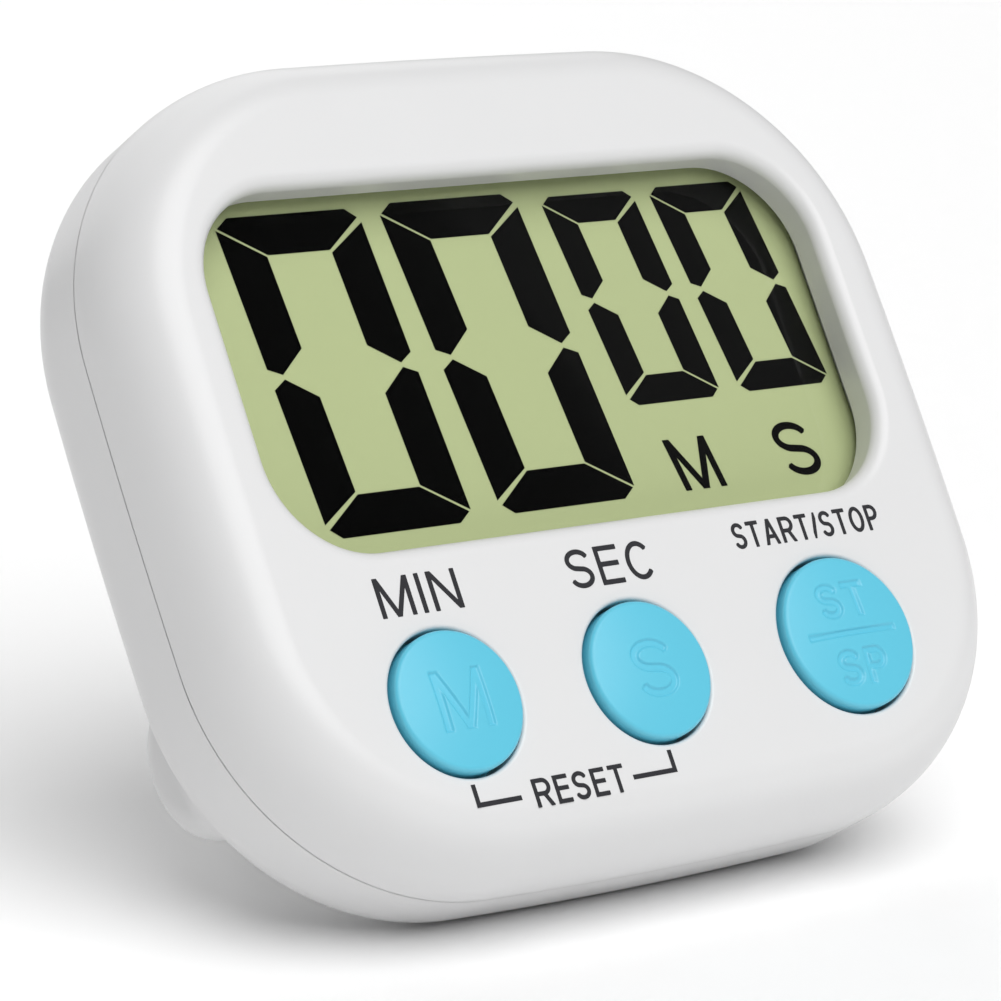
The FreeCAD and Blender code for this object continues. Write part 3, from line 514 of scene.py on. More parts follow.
def flat_piece(name, outlines, base_z, thickness, material, replaced=()):
    """One thin piece made of several flat outlines, each given as (points, faces)."""
    points, faces = [], []
    for flat, flat_faces in outlines:
        flat = [tuple(p) for p in flat]
        solid, solid_faces = raised(flat, upward(flat, flat_faces), base_z, base_z + thickness)
        faces += [tuple(i + len(points) for i in face) for face in solid_faces]
        points += solid
    keep_creases(make_piece(name, points, faces, material, "root", replaced))


def rectangle(x0, x1, y0, y1):
    return [(x0, y0), (x1, y0), (x1, y1), (x0, y1)], [(0, 1, 2, 3)]


for name, (words, (x0, x1), (y0, y1), line) in legends.items():
    outlines = lettering(words, x0, x1, y0, y1, line)
    if name == "reset":
        half = bracket_stroke / 2
        for corner, end in brackets:
            outer, inner = sorted((corner - half if end > corner else corner + half, end))
            outlines.append(rectangle(outer, inner, bracket_y - half, bracket_y + half))
            outlines.append(rectangle(corner - half, corner + half, bracket_y + half, bracket_top))
    flat_piece("legend_" + name, outlines, 0.0, ink_height, legend_ink)


# ---- Display ------------------------------------------------------------------------------------
# A reflective liquid-crystal cell behind a clear acrylic pane. Its front polariser shows a pale
# yellow-green, and the segments that are switched on are plain black. Four digits stand, two large
# and two small, over the letters M and S, with the middle bars off.
lcd_green = (0.455, 0.508, 0.272)
segment_black = (0.002, 0.002, 0.002)
segment_lift = 0.02
segment_thickness = 0.02
segment_gap, middle_gap = 0.25, 0.41

# Each digit: its left side and foot, its width and height, how thick its side bars and end bars are, and
# how far it leans.
digits = [
    (-24.95, -5.6, 14.4, 28.1, 4.0, 3.5, 0.062),
    (-7.55, -5.4, 14.3, 28.1, 4.0, 3.5, 0.096),
    (9.10, 2.6, 10.1, 19.5, 2.9, 2.6, 0.124),
    (21.45, 2.7, 10.2, 19.5, 2.9, 2.6, 0.148),
]
unit_letters = {"M": ((11.95, 16.5), (-5.45, -0.75)), "S": ((23.75, 27.75), (-5.45, -0.45))}
unit_lean, unit_line = 0.18, 0.66

lcd_material = solid_finish("lcd_green", lcd_green, 0.42, wander=0.012, patch=0.02, grain=0.0001,
                            grain_height=0.000001, shine=0.05)
segment_material = solid_finish("segment_black", segment_black, 0.6, wander=0.3, patch=0.002,
                                grain=0.0001, grain_height=0.000001, shine=0.0)


def clear_material(name, tint, roughness, sheen_share):
    """Polished and clear: what is behind shows through, under a sheen that grows at a glancing view."""
    material = bpy.data.materials.new(name)
    material.use_nodes = True
    nodes, links = material.node_tree.nodes, material.node_tree.links
    nodes.remove(nodes["Principled BSDF"])
    through = nodes.new("ShaderNodeBsdfTransparent")
    through.inputs["Color"].default_value = (*tint, 1)
    sheen = nodes.new("ShaderNodeBsdfGlossy")
    sheen.inputs["Roughness"].default_value = roughness
    facing = nodes.new("ShaderNodeFresnel")
    facing.inputs["IOR"].default_value = 1.49
    share = nodes.new("ShaderNodeMath")
    share.operation = "MULTIPLY"
    share.inputs[1].default_value = sheen_share
    blend = nodes.new("ShaderNodeMixShader")
    links.new(facing.outputs["Fac"], share.inputs[0])
    links.new(share.outputs["Value"], blend.inputs["Fac"])
    links.new(through.outputs["BSDF"], blend.inputs[1])
    links.new(sheen.outputs["BSDF"], blend.inputs[2])
    links.new(blend.outputs["Shader"], nodes["Material Output"].inputs["Surface"])
    return material


def digit_bars(width, height, side, end, gap):
    """The six outer bars of a seven-bar digit, upright, with its lower left corner at the origin."""
    cut = 0.26 * side
    tip = 0.33 * side
    foot = (height + middle_gap) / 2
    top = [(gap * 0.8, height - cut * 0.85), (cut * 1.4, height), (width - cut * 1.2, height),
           (width - cut * 0.25, height - cut * 0.8), (width - side - gap * 0.4, height - end),
           (side + gap * 0.6, height - end)]
    upper_left = [(0, height - cut), (side, height - end - gap * 0.6), (side, foot + side * 0.52),
                  (tip, foot), (0, foot + cut * 0.55)]
    upper_right = [(width, height - cut - gap), (width, foot + cut * 0.8), (width - tip, foot),
                   (width - side, foot + side * 0.45), (width - side, height - end - gap)]

    def turned(outline):
        return [(width - x, height - y) for x, y in outline]

    return [top, upper_left, upper_right, turned(top), turned(upper_left), turned(upper_right)]


def leaned(points, lean):
    """Points leaned to the left as they rise, as the digits on this display are."""
    return [(x - lean * y, y) for x, y in points]


def repaint(node, material):
    """Gives a CAD node its own material."""
    materials = frame["nodes"][node].data.materials
    materials.clear()
    materials.append(material)


film_low, film_high = extent("front_polariser")
film_z = film_high[2]
glass_low, glass_high = extent("front_glass")

# The green front is as wide as the glass, so that no edge of it shows in the opening.
flat_piece("lcd_front", [rectangle(glass_low[0], glass_high[0], film_low[1], glass_high[1])],
           film_low[2], film_z - film_low[2], lcd_material, ["front_polariser"])
for number, (x, y, width, height, side, end, lean) in enumerate(digits, 1):
    bars = []
    for bar in digit_bars(width, height, side, end, segment_gap):
        bars.append(([(px + x, py + y) for px, py in leaned(bar, lean)], [tuple(range(len(bar)))]))
    flat_piece(f"digit_{number}", bars, film_z + segment_lift, segment_thickness, segment_material)
for letter, ((x0, x1), (y0, y1)) in unit_letters.items():
    flat, faces = lettering(letter, 0, x1 - x0, 0, y1 - y0, unit_line)[0]
    flat_piece("unit_" + letter, [([(px + x0, py + y0) for px, py in leaned(flat, unit_lean)], faces)],
               film_z + segment_lift, segment_thickness, segment_material)
pane_material = clear_material("clear_acrylic", (0.985, 0.99, 0.985), 0.03, 0.03)
glass_material = clear_material("display_glass", (0.93, 0.96, 0.94), 0.02, 1.0)
repaint("display_window", pane_material)
for node in ("front_glass", "rear_glass"):
    repaint(node, glass_material)


# ---- Buttons ------------------------------------------------------------------------------------
# Three caps moulded in sky-blue ABS with a low dome and a softly rounded edge. Each has its own
# letters sunk into the dome, a flange that keeps it in the case, and a stem that presses its rubber
# dome. They slide in round holes with a narrow gap all round.
sky_blue = (0.11, 0.53, 0.70)
cap_crown, cap_edge_round, cap_rim_z, cap_skin = 0.5, 0.45, 0.6, 1.4
cap_flange_front, cap_flange_back = -3.5, -4.4
cap_stem_radius = 2.2
cap_steps, cap_rings, cap_edge_steps, last_ring, cap_crease = 240, 83, 10, 0.05, 60
sunk_depth, sunk_slope, sunk_line = 0.2, 0.22, 0.66

# The letters on each cap: left and right ends, foot and top, and how wide the groove is. The last mark is
# the bar between two words: a stroke so thick that it fills its box.
cap_marks = {
    "min": [("M", (-2.45, 2.35), (-2.45, 2.45), sunk_line)],
    "sec": [("S", (-2.0, 2.0), (-2.5, 2.4), sunk_line)],
    "start_stop": [("ST", (-2.6, 2.6), (1.2, 4.3), sunk_line * 0.85),
                   ("SP", (-2.6, 2.6), (-4.7, -1.6), sunk_line * 0.85),
                   ("/", (-4.7, 4.7), (-0.42, 0.08), 30.0)],
}

blue_plastic = solid_finish("blue_plastic", sky_blue, 0.36, wander=0.02, grain_height=0.000003)


def sunk_share(points, marks):
    """How far the marks are sunk at points of a cap, from 0 to 1, with softly sloped walls."""
    nearest = np.full(points.shape, far_off)
    for words, (x0, x1), (y0, y1), line in marks:
        for letter, (x, width) in zip(words, letter_places(words, x0, x1, y1 - y0, line)):
            distance = letter_distance(points.real - x, points.imag - y0, letter, width, y1 - y0, line)
            nearest = np.minimum(nearest, distance)
    share = np.clip(0.5 - nearest / sunk_slope, 0, 1)
    return share * share * (3 - 2 * share)


def button_cap(name, centre, radius):
    """One cap, in rings from the end of its stem, out round its flange and in over its dome."""
    ball = (radius**2 + cap_crown**2) / (2 * cap_crown)
    ball_z = cap_rim_z + cap_crown - ball
    edge_start = (radius - cap_edge_round) / (1 - cap_edge_round / ball)
    tilt = math.asin(edge_start / ball)
    edge_z = ball_z + (ball - cap_edge_round) * math.cos(tilt)
    stem_end = extent("button_" + name)[0][2]
    hollow = radius - cap_skin
    flange = radius + button_gap + button_flange
    profile = [(cap_stem_radius, stem_end), (cap_stem_radius, cap_rim_z - cap_skin),
               (hollow, cap_rim_z - cap_skin), (hollow, cap_flange_back), (flange, cap_flange_back),
               (flange, cap_flange_front), (radius, cap_flange_front)]
    for t in np.linspace(math.pi / 2, tilt, cap_edge_steps):
        profile.append((radius - cap_edge_round * (1 - math.sin(t)), edge_z + cap_edge_round * math.cos(t)))
    skin = Skin()
    rings = [skin.ring(circle(centre, r, cap_steps), z) for r, z in profile]
    for r in np.linspace(edge_start, last_ring, cap_rings + 1)[1:]:
        points = circle(0, r, cap_steps)
        height = ball_z + math.sqrt(ball**2 - r**2) - sunk_depth * sunk_share(points, cap_marks[name])
        rings.append(skin.ring(points + centre, height))
    skin.bands(rings)
    skin.cover([rings[0]], -1)
    skin.cover([rings[-1]], 1)
    piece = make_piece("cap_" + name, skin.points, skin.faces, blue_plastic, "press_" + name,
                       ["button_" + name])
    piece.data.set_sharp_from_angle(angle=math.radians(cap_crease))


for name, (centre, hole) in buttons.items():
    button_cap(name, centre, hole - button_gap)


# ---- Back cover ---------------------------------------------------------------------------------
# The rear half of the white ABS case: a tray with a rounded back edge, a round battery bulge across
# its lower back, a boss for the magnet and two ears for the stand. It is one moulding, so every
# feature runs into the next with a small fillet.
back_z, back_round = -18.5, 5.5
back_inner_z = back_z + wall
back_rim_z = parting_z - 0.02
lip_room, cut_past = 0.1, 1.0
cell_low, cell_high = extent("battery_sleeve")
cell_y, cell_z = (cell_low[1] + cell_high[1]) / 2, (cell_low[2] + cell_high[2]) / 2
cell_room, cell_room_wall = 5.6, 1.0
bulge_radius, bulge_half, bulge_end_round = 7.0, 35.5, 3.0
bay_half = 28.4
door_low, door_high = extent("battery_door")
door_half = (door_high[0] - door_low[0]) / 2
door_edge_z, door_gap = cell_z - 1.2, 0.3
contact_room, contact_rib = 0.15, 0.8
tail_drop, tail_half = 0.95, 1.1
plus_edge = extent("plus_contact")[1][0]
minus_edge = extent("minus_contact")[0][0]
rib_spans = [(plus_edge + contact_room, plus_edge + contact_room + contact_rib),
             (minus_edge - contact_room - contact_rib, minus_edge - contact_room)]
magnet_low, magnet_high = extent("magnet")
magnet_y, magnet_radius = (magnet_low[1] + magnet_high[1]) / 2, (magnet_high[0] - magnet_low[0]) / 2
boss_radius, boss_z, boss_floor_z, boss_core = magnet_radius + 1.6, -25.0, -20.4, 6.5
magnet_room, boss_edge_round = 0.1, 0.5
pin_low, pin_high = extent("stand_pins")
axis_y, axis_z = (pin_low[1] + pin_high[1]) / 2, (pin_low[2] + pin_high[2]) / 2
pin_radius, pin_fit, pin_bore_half = (pin_high[1] - pin_low[1]) / 2, 0.02, 1.7
ear_middle, ear_half, ear_radius, ear_edge_round = 8.5, 1.3, 2.3, 0.4
screw_head_room, screw_head_depth, screw_shaft_room = 2.1, 1.6, 1.1
back_post_half = 2.2
buzzer_low, buzzer_high = extent("buzzer_plate")
buzzer = complex(*((buzzer_low + buzzer_high)[:2] / 2))
buzzer_seat, buzzer_seat_half, buzzer_seat_rise = 10.8, 0.5, 1.2
sound_hole, sound_ring, sound_count = 0.8, 3.2, 6
bulge_fillet, boss_fillet, ear_fillet, rib_fillet = 1.8, 1.2, 0.7, 0.2
root_fillet, cut_fillet, head_fillet, fine_fillet, shaft_fillet = 0.4, 0.3, 0.25, 0.15, 0.1
back_low, back_high, back_step = (-41, -37, -26), (41, 37, -7.5), 0.45


def soft_max(a, b, blend):
    """The larger of two distances, run together over the blend."""
    share = np.clip(0.5 + 0.5 * (a - b) / blend, 0, 1)
    return b + (a - b) * share + blend * share * (1 - share)


def soft_min(a, b, blend):
    """The smaller of two distances, run together over the blend."""
    return -soft_max(-a, -b, blend)


def rounded(*sides, radius):
    """The space inside several sides at once, with a rounded edge where they meet."""
    moved = [side + radius for side in sides]
    beyond = np.sqrt(sum(np.maximum(side, 0) ** 2 for side in moved))
    deepest = moved[0]
    for side in moved[1:]:
        deepest = np.maximum(deepest, side)
    return np.minimum(deepest, 0) + beyond - radius


def case_distance(x, y):
    """How far a point is outside the case outline, or less than nothing inside it."""
    place = x + 1j * y
    distance = np.full(place.shape, -far_off)
    for centre, radius, first, last in case_arcs():
        away = place - centre
        faced = ((first.conjugate() * away).imag >= 0) & ((away.conj() * last).imag >= 0)
        distance = np.where(faced, np.maximum(distance, np.abs(away) - radius), distance)
    return distance


def back_cover_shape(x, y, z):
    """How far a point is from the back cover's surface, less than nothing inside the plastic."""
    side = case_distance(x, y)
    from_cell = np.hypot(y - cell_y, z - cell_z)
    from_magnet = np.hypot(x, y - magnet_y)
    from_axis = np.hypot(y - axis_y, z - axis_z)

    # outside: the tray, the battery bulge, the magnet's boss and the ears
    bulge = rounded(abs(x) - bulge_half, from_cell - bulge_radius, radius=bulge_end_round)
    boss = rounded(from_magnet - boss_radius, boss_z - z, radius=boss_edge_round)
    ear = np.minimum(from_axis - ear_radius, np.maximum(abs(y - axis_y) - ear_radius, axis_z - z))
    ears = rounded(abs(abs(x) - ear_middle) - ear_half, ear, radius=ear_edge_round)
    solid = soft_min(rounded(side, back_z - z, radius=back_round), bulge, bulge_fillet)
    solid = soft_min(solid, boss, boss_fillet)
    solid = soft_min(solid, ears, ear_fillet)

    # the hollow, with a step at the rim for the front cover's lip
    hollow = rounded(side + wall, back_inner_z - z, radius=back_round - wall)
    solid = soft_max(solid, -hollow, cut_fillet)
    solid = soft_max(solid, -np.maximum(from_magnet - boss_core, boss_floor_z - z), cut_fillet)
    lip_step = np.maximum(side + lip_inset - lip_room, lip_end_z - lip_room - z)
    solid = soft_max(solid, -lip_step, fine_fillet)

    # the cell's bay, open towards the door, with ribs that hold the contacts
    room_outside = np.maximum(abs(x) - bay_half - cell_room_wall, from_cell - cell_room - cell_room_wall)
    solid = soft_min(solid, room_outside, root_fillet)
    bay = np.minimum(from_cell - cell_room, np.maximum(abs(y - cell_y) - cell_room, z - cell_z))
    doorway = np.maximum(abs(y - cell_y) - bulge_radius - cut_past, z - door_edge_z - door_gap)
    solid = soft_max(solid, -np.maximum(abs(x) - bay_half, np.minimum(bay, doorway)), cut_fillet)
    rib_side = np.where(z > cell_z, from_cell, abs(y - cell_y)) - cell_room - cell_room_wall / 2
    for low_x, high_x in rib_spans:
        rib = np.maximum(abs(x - (low_x + high_x) / 2) - (high_x - low_x) / 2, rib_side)
        solid = soft_min(solid, np.maximum(rib, door_edge_z + door_gap - z), rib_fillet)
    for node in ("plus_contact", "minus_contact"):
        solid = np.maximum(solid, -tail_slot(node, x, y, z))

    # a post for each case screw, with room for its head and its shaft
    for centre in screw_centres("case_screws"):
        from_screw = np.hypot(x - centre.real, y - centre.imag)
        post_middle_z = (post_end_z + back_inner_z) / 2
        post = np.maximum(from_screw - post_radius, abs(z - post_middle_z) - back_post_half)
        solid = soft_min(solid, post, root_fillet)
        head = np.maximum(from_screw - screw_head_room, z - back_z - screw_head_depth)
        solid = soft_max(solid, -head, head_fillet)
        shaft = np.maximum(from_screw - screw_shaft_room, z - post_end_z - cut_past)
        solid = soft_max(solid, -shaft, shaft_fillet)

    # the buzzer's seat, the magnet's pocket, the pins' bores and the sound holes
    from_buzzer = np.hypot(x - buzzer.real, y - buzzer.imag)
    seat_wall = abs(from_buzzer - buzzer_seat) - buzzer_seat_half
    seat = np.maximum(seat_wall, abs(z - back_inner_z) - buzzer_seat_rise)
    solid = soft_min(solid, seat, cut_fillet)
    pocket = np.maximum(from_magnet - magnet_radius - magnet_room, z - magnet_high[2])
    solid = soft_max(solid, -pocket, cut_fillet)
    bore = np.maximum(abs(x) - ear_middle - pin_bore_half, from_axis - pin_radius - pin_fit)
    solid = soft_max(solid, -bore, fine_fillet)
    for hole in sound_holes():
        from_hole = np.hypot(x - hole.real, y - hole.imag) - sound_hole
        solid = soft_max(solid, -np.maximum(from_hole, z - back_inner_z - cut_past), cut_fillet)
    return np.maximum(solid, z - back_rim_z)


def sound_holes():
    """The middles of the holes over the buzzer: one, and a ring of others round it."""
    return [buzzer] + list(circle(buzzer, sound_ring, sound_count))


def tail_slot(node, x, y, z):
    """Room for a contact's solder tail, through the wall above the cell."""
    slot_low, slot_high = extent(node)
    middle_x, half = (slot_low[0] + slot_high[0]) / 2, (slot_high[0] - slot_low[0]) / 2 + contact_room
    tail_z = slot_high[2] - tail_drop
    above = np.maximum(cell_y - y, y - slot_high[1])
    return np.maximum(np.maximum(abs(x - middle_x) - half, above), abs(z - tail_z) - tail_half)


def skin_of(shape, low, high, step):
    """A skin of four-sided faces round the solid where shape is below nothing.

    Each cell of the grid that the surface crosses gets one point, and each grid edge that it crosses gets
    one face, between the four cells round that edge.
    """
    axes = [np.arange(a, b + step, step) for a, b in zip(low, high)]
    field = shape(axes[0][:, None, None], axes[1][None, :, None], axes[2][None, None, :])
    quads, spots, owners = [], [], []
    for axis in range(3):
        behind, ahead = [slice(None)] * 3, [slice(None)] * 3
        behind[axis], ahead[axis] = slice(0, -1), slice(1, None)
        one, other = field[tuple(behind)], field[tuple(ahead)]
        at = np.argwhere((one < 0) != (other < 0))
        start, end = one[tuple(at.T)], other[tuple(at.T)]
        spot = at.astype(float)
        spot[:, axis] += start / (start - end)
        cells = []
        for shift_b, shift_c in ((0, 0), (-1, 0), (-1, -1), (0, -1)):
            cell = at.copy()
            cell[:, (axis + 1) % 3] += shift_b
            cell[:, (axis + 2) % 3] += shift_c
            cells.append(np.ravel_multi_index(cell.T, field.shape))
        quad = np.stack(cells, 1)
        owners.append(quad.ravel())
        spots.append(np.repeat(spot, 4, 0))
        quad[start > 0] = quad[start > 0, ::-1]
        quads.append(quad)
    cells, number = np.unique(np.concatenate(owners), return_inverse=True)
    share = np.bincount(number)
    points = np.stack([np.bincount(number, weights=s) / share for s in np.concatenate(spots).T], 1)
    return points * step + np.array(low), np.searchsorted(cells, np.concatenate(quads))


def slope_of(shape, points, reach=0.02):
    """The direction in which the shape's distance grows, at each point."""
    slopes = []
    for axis in range(3):
        shift = np.zeros(3)
        shift[axis] = reach
        slopes.append((shape(*(points + shift).T) - shape(*(points - shift).T)) / (2 * reach))
    return np.stack(slopes, 1)


def pulled_on(shape, points, furthest, rounds=3):
    """Points moved along the slope until they lie on the shape's surface."""
    for _round in range(rounds):
        slope = slope_of(shape, points)
        steepness = np.maximum((slope**2).sum(1), 0.05)
        step = np.clip(shape(*points.T) / steepness, -furthest, furthest)
        points = points - slope * step[:, None]
    return points


def moulded(name, shape, low, high, step, material, body, replaced, crisp=None):
    """A piece with soft moulded edges, made from its shape. crisp puts the points of a sharp rim right."""
    points, faces = skin_of(shape, low, high, step)
    points = pulled_on(shape, points, step / 2)
    felt = points
    if crisp is not None:
        points, felt = crisp(points, step)
    normals = slope_of(shape, felt)
    normals /= np.maximum(np.linalg.norm(normals, axis=1), 1e-6)[:, None]
    return make_piece(name, points, faces, material, body, replaced, normals)


def crisp_rim(points, step):
    """Points near the back cover's outer rim put on its sharp edge, and where to feel its slope."""
    side = case_distance(points[:, 0], points[:, 1])
    near = (abs(side) < step * 0.9) & (abs(points[:, 2] - back_rim_z) < step * 0.9)
    place = points[near]
    reach = 0.02
    slopes = []
    for along_x, along_y in ((reach, 0), (0, reach)):
        ahead = case_distance(place[:, 0] + along_x, place[:, 1] + along_y)
        behind = case_distance(place[:, 0] - along_x, place[:, 1] - along_y)
        slopes.append(ahead - behind)
    for axis, slope in enumerate(slopes):
        place[:, axis] -= side[near] * slope / (2 * reach)
    place[:, 2] = back_rim_z
    points[near] = place
    felt = points.copy()
    felt[near, 2] -= 2 * step
    return points, felt


moulded("back_cover", back_cover_shape, back_low, back_high, back_step, white_plastic, "root",
        ["rear_shell"], crisp_rim)


# ---- Battery door -------------------------------------------------------------------------------
# A half-round white ABS cover that carries the bulge on over the cell. A tab at each end locates it,
# and four soft grooves across its back give the fingers a hold.
door_thickness, tab_thickness, tab_half = 1.3, 1.2, 3.0
groove_count, groove_pitch, groove_width, groove_depth = 4, 2.2, 0.8, 0.4
door_edge_round, groove_edge_round, tab_fillet, groove_fillet = 0.25, 0.15, 0.4, 0.35
door_step = 0.22

# How far beyond the CAD piece the skin is looked for.
skin_margin = 1.0


def door_shape(x, y, z):
    """How far a point is from the door's surface, less than nothing inside the plastic."""
    from_cell = np.hypot(y - cell_y, z - cell_z)
    cover = rounded(abs(x) - door_half, from_cell - bulge_radius, bulge_radius - door_thickness - from_cell,
                    z - door_edge_z, radius=door_edge_round)
    tab_low = door_low[2] + door_thickness / 2
    tab_middle, tab_reach = (door_high[2] + tab_low) / 2, (door_high[2] - tab_low) / 2
    tabs = rounded(abs(abs(x) - door_half + tab_thickness / 2) - tab_thickness / 2,
                   abs(y - cell_y) - tab_half, abs(z - tab_middle) - tab_reach, radius=door_edge_round)
    solid = soft_min(cover, tabs, tab_fillet)
    for index in range(groove_count):
        groove_x = (index - (groove_count - 1) / 2) * groove_pitch
        groove = rounded(abs(x - groove_x) - groove_width / 2, abs(y - cell_y) - bulge_radius / 2,
                         bulge_radius - groove_depth - from_cell, z - cell_z, radius=groove_edge_round)
        solid = soft_max(solid, -groove, groove_fillet)
    return solid


moulded("cell_door", door_shape, door_low - skin_margin, door_high + skin_margin, door_step,
        white_plastic, "door", ["battery_door"])


# ---- Stand --------------------------------------------------------------------------------------
# A U-shaped foot in white ABS with round edges. Its two arms turn on steel pins in the ears of the
# back cover, and a short heel behind each pin stops against the case when the stand is open.
stand_length, arm_inner, arm_outer, arm_half = 30.0, 10.2, 14.0, 1.6
foot_bar, plan_corner, gap_corner, bar_round, gap_fillet = 5.0, 3.0, 2.0, 1.5, 1.0
eye_radius, heel_reach, heel_gap, heel_round, heel_fillet = 2.0, 3.4, 0.3, 0.4, 0.5
stand_play, stand_step = 0.05, 0.24
stand_fold = next(j for j in frame["joints"] if j["name"] == "stand_fold")
opened = math.radians(max(stand_fold["range_deg"]))
foot_low, foot_high = extent("stand")


def stand_shape(x, y, z):
    """How far a point is from the open stand's surface, less than nothing inside the plastic."""
    dy, dz = y - axis_y, z - axis_z
    along = dy * math.cos(opened) - dz * math.sin(opened)
    across = dy * math.sin(opened) + dz * math.cos(opened)
    from_axis = np.hypot(dy, dz)
    plan = rounded(abs(x) - arm_outer, along - stand_length, -along - eye_radius, radius=plan_corner)
    solid = rounded(plan, abs(across) - arm_half, radius=bar_round)
    gap = rounded(abs(x) - arm_inner, along - stand_length + foot_bar, radius=gap_corner)
    solid = np.maximum(soft_max(solid, -gap, gap_fillet), -along)
    arm_middle, arm_reach = (arm_inner + arm_outer) / 2, (arm_outer - arm_inner) / 2
    arm = abs(abs(x) - arm_middle) - arm_reach
    eye = rounded(arm, from_axis - eye_radius, radius=heel_round)
    heel_middle = (axis_z - arm_half + back_z - heel_gap) / 2
    heel = rounded(arm, abs(dy + heel_reach / 2) - heel_reach / 2,
                   abs(z - heel_middle) - (back_z - heel_gap - heel_middle), radius=heel_round)
    solid = soft_min(soft_min(solid, eye, heel_fillet), heel, heel_fillet)
    return soft_max(solid, -(from_axis - pin_radius - stand_play), fine_fillet)


moulded("kick_stand", stand_shape, foot_low - skin_margin, foot_high + skin_margin, stand_step,
        white_plastic, "leg", ["stand"])


# ---- Inside and metal parts ---------------------------------------------------------------------
# The pieces that the case holds: the liquid-crystal cell, the board and what is soldered to it, the
# rubber domes, the battery and its contacts, the buzzer, the magnet, the screws and the wires.

# The finish of each CAD node: its name, its colour, how rough it is and how much of a metal.
inner_finishes = {
    "display_holder": ("holder_white", (0.76, 0.76, 0.74), 0.6, 0.0),
    "reflector": ("reflector_green", (0.52, 0.58, 0.38), 0.35, 0.0),
    "zebra_strip": ("zebra_rubber", (0.26, 0.26, 0.28), 0.7, 0.0),
    "circuit_board": ("board_green", (0.012, 0.10, 0.035), 0.38, 0.0),
    "contact_pads": ("carbon_pad", (0.012, 0.012, 0.012), 0.65, 0.0),
    "chip_blob": ("epoxy_black", (0.006, 0.006, 0.006), 0.25, 0.0),
    "clock_crystal": ("can_steel", (0.62, 0.62, 0.63), 0.28, 1.0),
    "boost_coil": ("coil_copper", (0.55, 0.22, 0.08), 0.4, 0.6),
    "capacitors": ("ceramic_tan", (0.35, 0.24, 0.14), 0.5, 0.0),
    "resistors": ("resistor_black", (0.012, 0.012, 0.012), 0.45, 0.0),
    "transistor": ("resistor_black", (0.012, 0.012, 0.012), 0.45, 0.0),
    "battery_can": ("can_steel", (0.62, 0.62, 0.63), 0.28, 1.0),
    "battery_sleeve": ("cell_wrap", (0.02, 0.045, 0.09), 0.3, 0.0),
    "plus_contact": ("contact_nickel", (0.66, 0.64, 0.60), 0.25, 1.0),
    "minus_contact": ("contact_nickel", (0.66, 0.64, 0.60), 0.25, 1.0),
    "minus_spring": ("contact_nickel", (0.66, 0.64, 0.60), 0.25, 1.0),
    "stand_pins": ("pin_steel", (0.55, 0.55, 0.56), 0.3, 1.0),
    "case_screws": ("pin_steel", (0.55, 0.55, 0.56), 0.3, 1.0),
    "board_screws": ("pin_steel", (0.55, 0.55, 0.56), 0.3, 1.0),
    "magnet": ("magnet_ferrite", (0.05, 0.05, 0.054), 0.55, 0.3),
    "foam_ring": ("foam_black", (0.02, 0.02, 0.02), 0.9, 0.0),
    "buzzer_plate": ("buzzer_brass", (0.66, 0.45, 0.17), 0.3, 1.0),
    "buzzer_ceramic": ("buzzer_silver", (0.72, 0.71, 0.68), 0.5, 0.2),
    "battery_wire_red": ("wire_red", (0.48, 0.01, 0.008), 0.45, 0.0),
    "buzzer_wire_red": ("wire_red", (0.48, 0.01, 0.008), 0.45, 0.0),
    "battery_wire_black": ("wire_black", (0.01, 0.01, 0.01), 0.45, 0.0),
    "buzzer_wire_black": ("wire_black", (0.01, 0.01, 0.01), 0.45, 0.0),
}
for name in buttons:
    inner_finishes["dome_" + name] = ("dome_silicone", (0.58, 0.60, 0.58), 0.5, 0.0)
    inner_finishes["pill_" + name] = ("carbon_pad", (0.012, 0.012, 0.012), 0.65, 0.0)

made = {}
for node, (name, colour, roughness, metal) in inner_finishes.items():
    if name not in made:
        made[name] = solid_finish(name, colour, roughness, wander=0.08, patch=0.003, metal=metal)
    repaint(node, made[name])


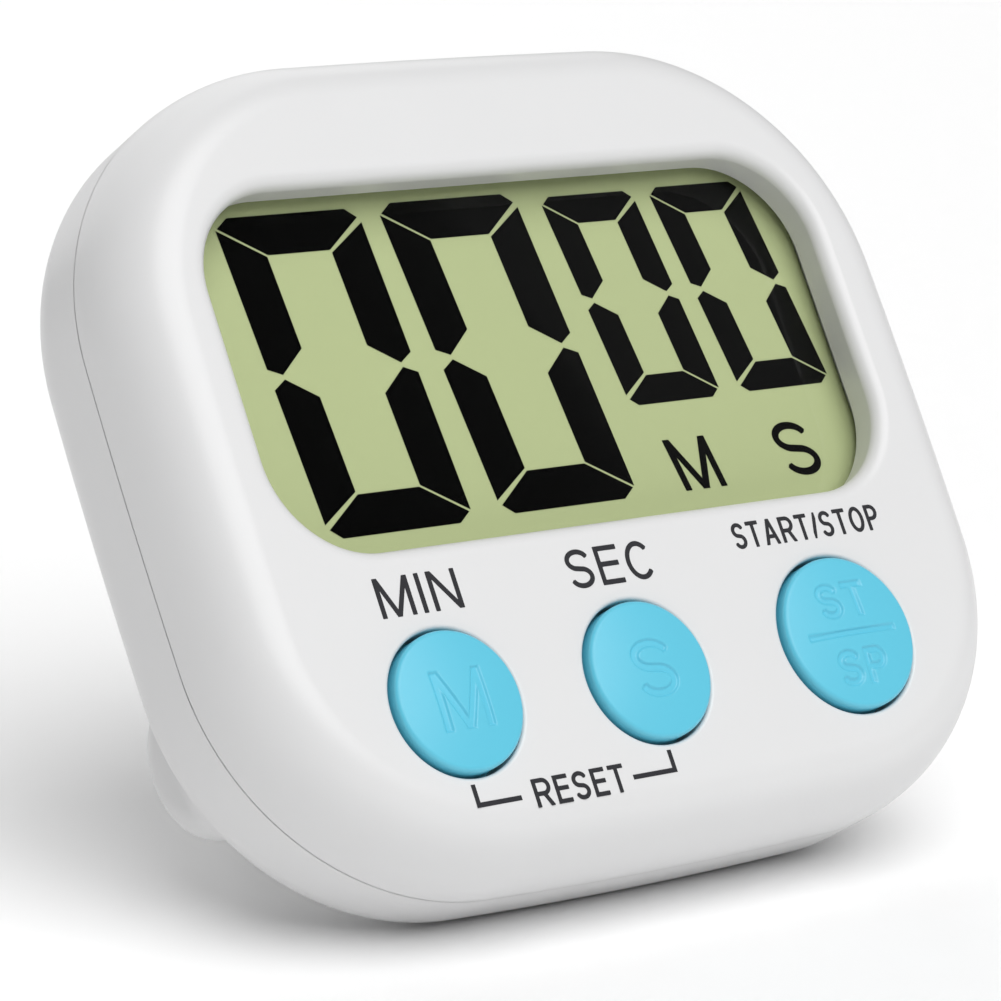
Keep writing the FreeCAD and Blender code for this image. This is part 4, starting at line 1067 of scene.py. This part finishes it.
# ---- Studio -------------------------------------------------------------------------------------
# A pale floor that runs far past the camera's view, a white surround, and two broad soft lamps, one high
# in front and one behind. The camera looks with a long lens from the front left, a little above.
floor_radius, floor_steps = 6.0, 128
surround_strength, lamp_spread = 0.25, 62
lens, sensor_width = 162.8, 36.0

floor_ring = circle(0, floor_radius, floor_steps)
floor_mesh = bpy.data.meshes.new("studio_floor")
floor_mesh.from_pydata([(p.real, p.imag, 0) for p in floor_ring], [], [tuple(range(floor_steps))])
floor_mesh.materials.append(solid_finish("floor_white", (0.98, 0.98, 0.98), 0.6, wander=0.004, patch=0.4,
                                         grain=0.004, grain_height=0.00001))
floor = bpy.data.objects.new("studio_floor", floor_mesh)
bpy.context.scene.collection.objects.link(floor)

world = bpy.data.worlds.new("surround")
world.use_nodes = True
world.node_tree.nodes["Background"].inputs["Color"].default_value = (1, 1, 1, 1)
world.node_tree.nodes["Background"].inputs["Strength"].default_value = surround_strength
bpy.context.scene.world = world
bpy.context.scene.view_settings.view_transform = "Standard"


def softbox(name, direction, power):
    """A broad soft light from far away, from the direction given."""
    data = bpy.data.lights.new(name, "SUN")
    data.energy = power
    data.angle = math.radians(lamp_spread)
    lamp = bpy.data.objects.new(name, data)
    bpy.context.scene.collection.objects.link(lamp)
    lamp.rotation_euler = Vector(direction).to_track_quat("Z", "Y").to_euler()


softbox("front_softbox", (-0.03, -0.54, 0.84), 2.55)
softbox("back_softbox", (0.15, 0.84, 0.52), 0.8)

camera_data = bpy.data.cameras.new("camera")
camera_data.lens = lens
camera_data.sensor_width = sensor_width
camera_data.clip_start, camera_data.clip_end = 0.01, 50
camera = bpy.data.objects.new("camera", camera_data)
bpy.context.scene.collection.objects.link(camera)

# The camera's own right, up and back, as directions in the room, and the place where it stands.
camera_right = Vector((0.79039, -0.61118, 0.04165))
camera_up = Vector((0.10364, 0.20042, 0.97421))
camera_back = Vector((-0.60377, -0.76569, 0.22176))
camera_turn = Matrix((camera_right, camera_up, camera_back)).transposed()
camera_place = Vector((-0.230604, -0.289460, 0.114127))
camera.matrix_world = Matrix.Translation(camera_place) @ camera_turn.to_4x4()
bpy.context.scene.camera = camera
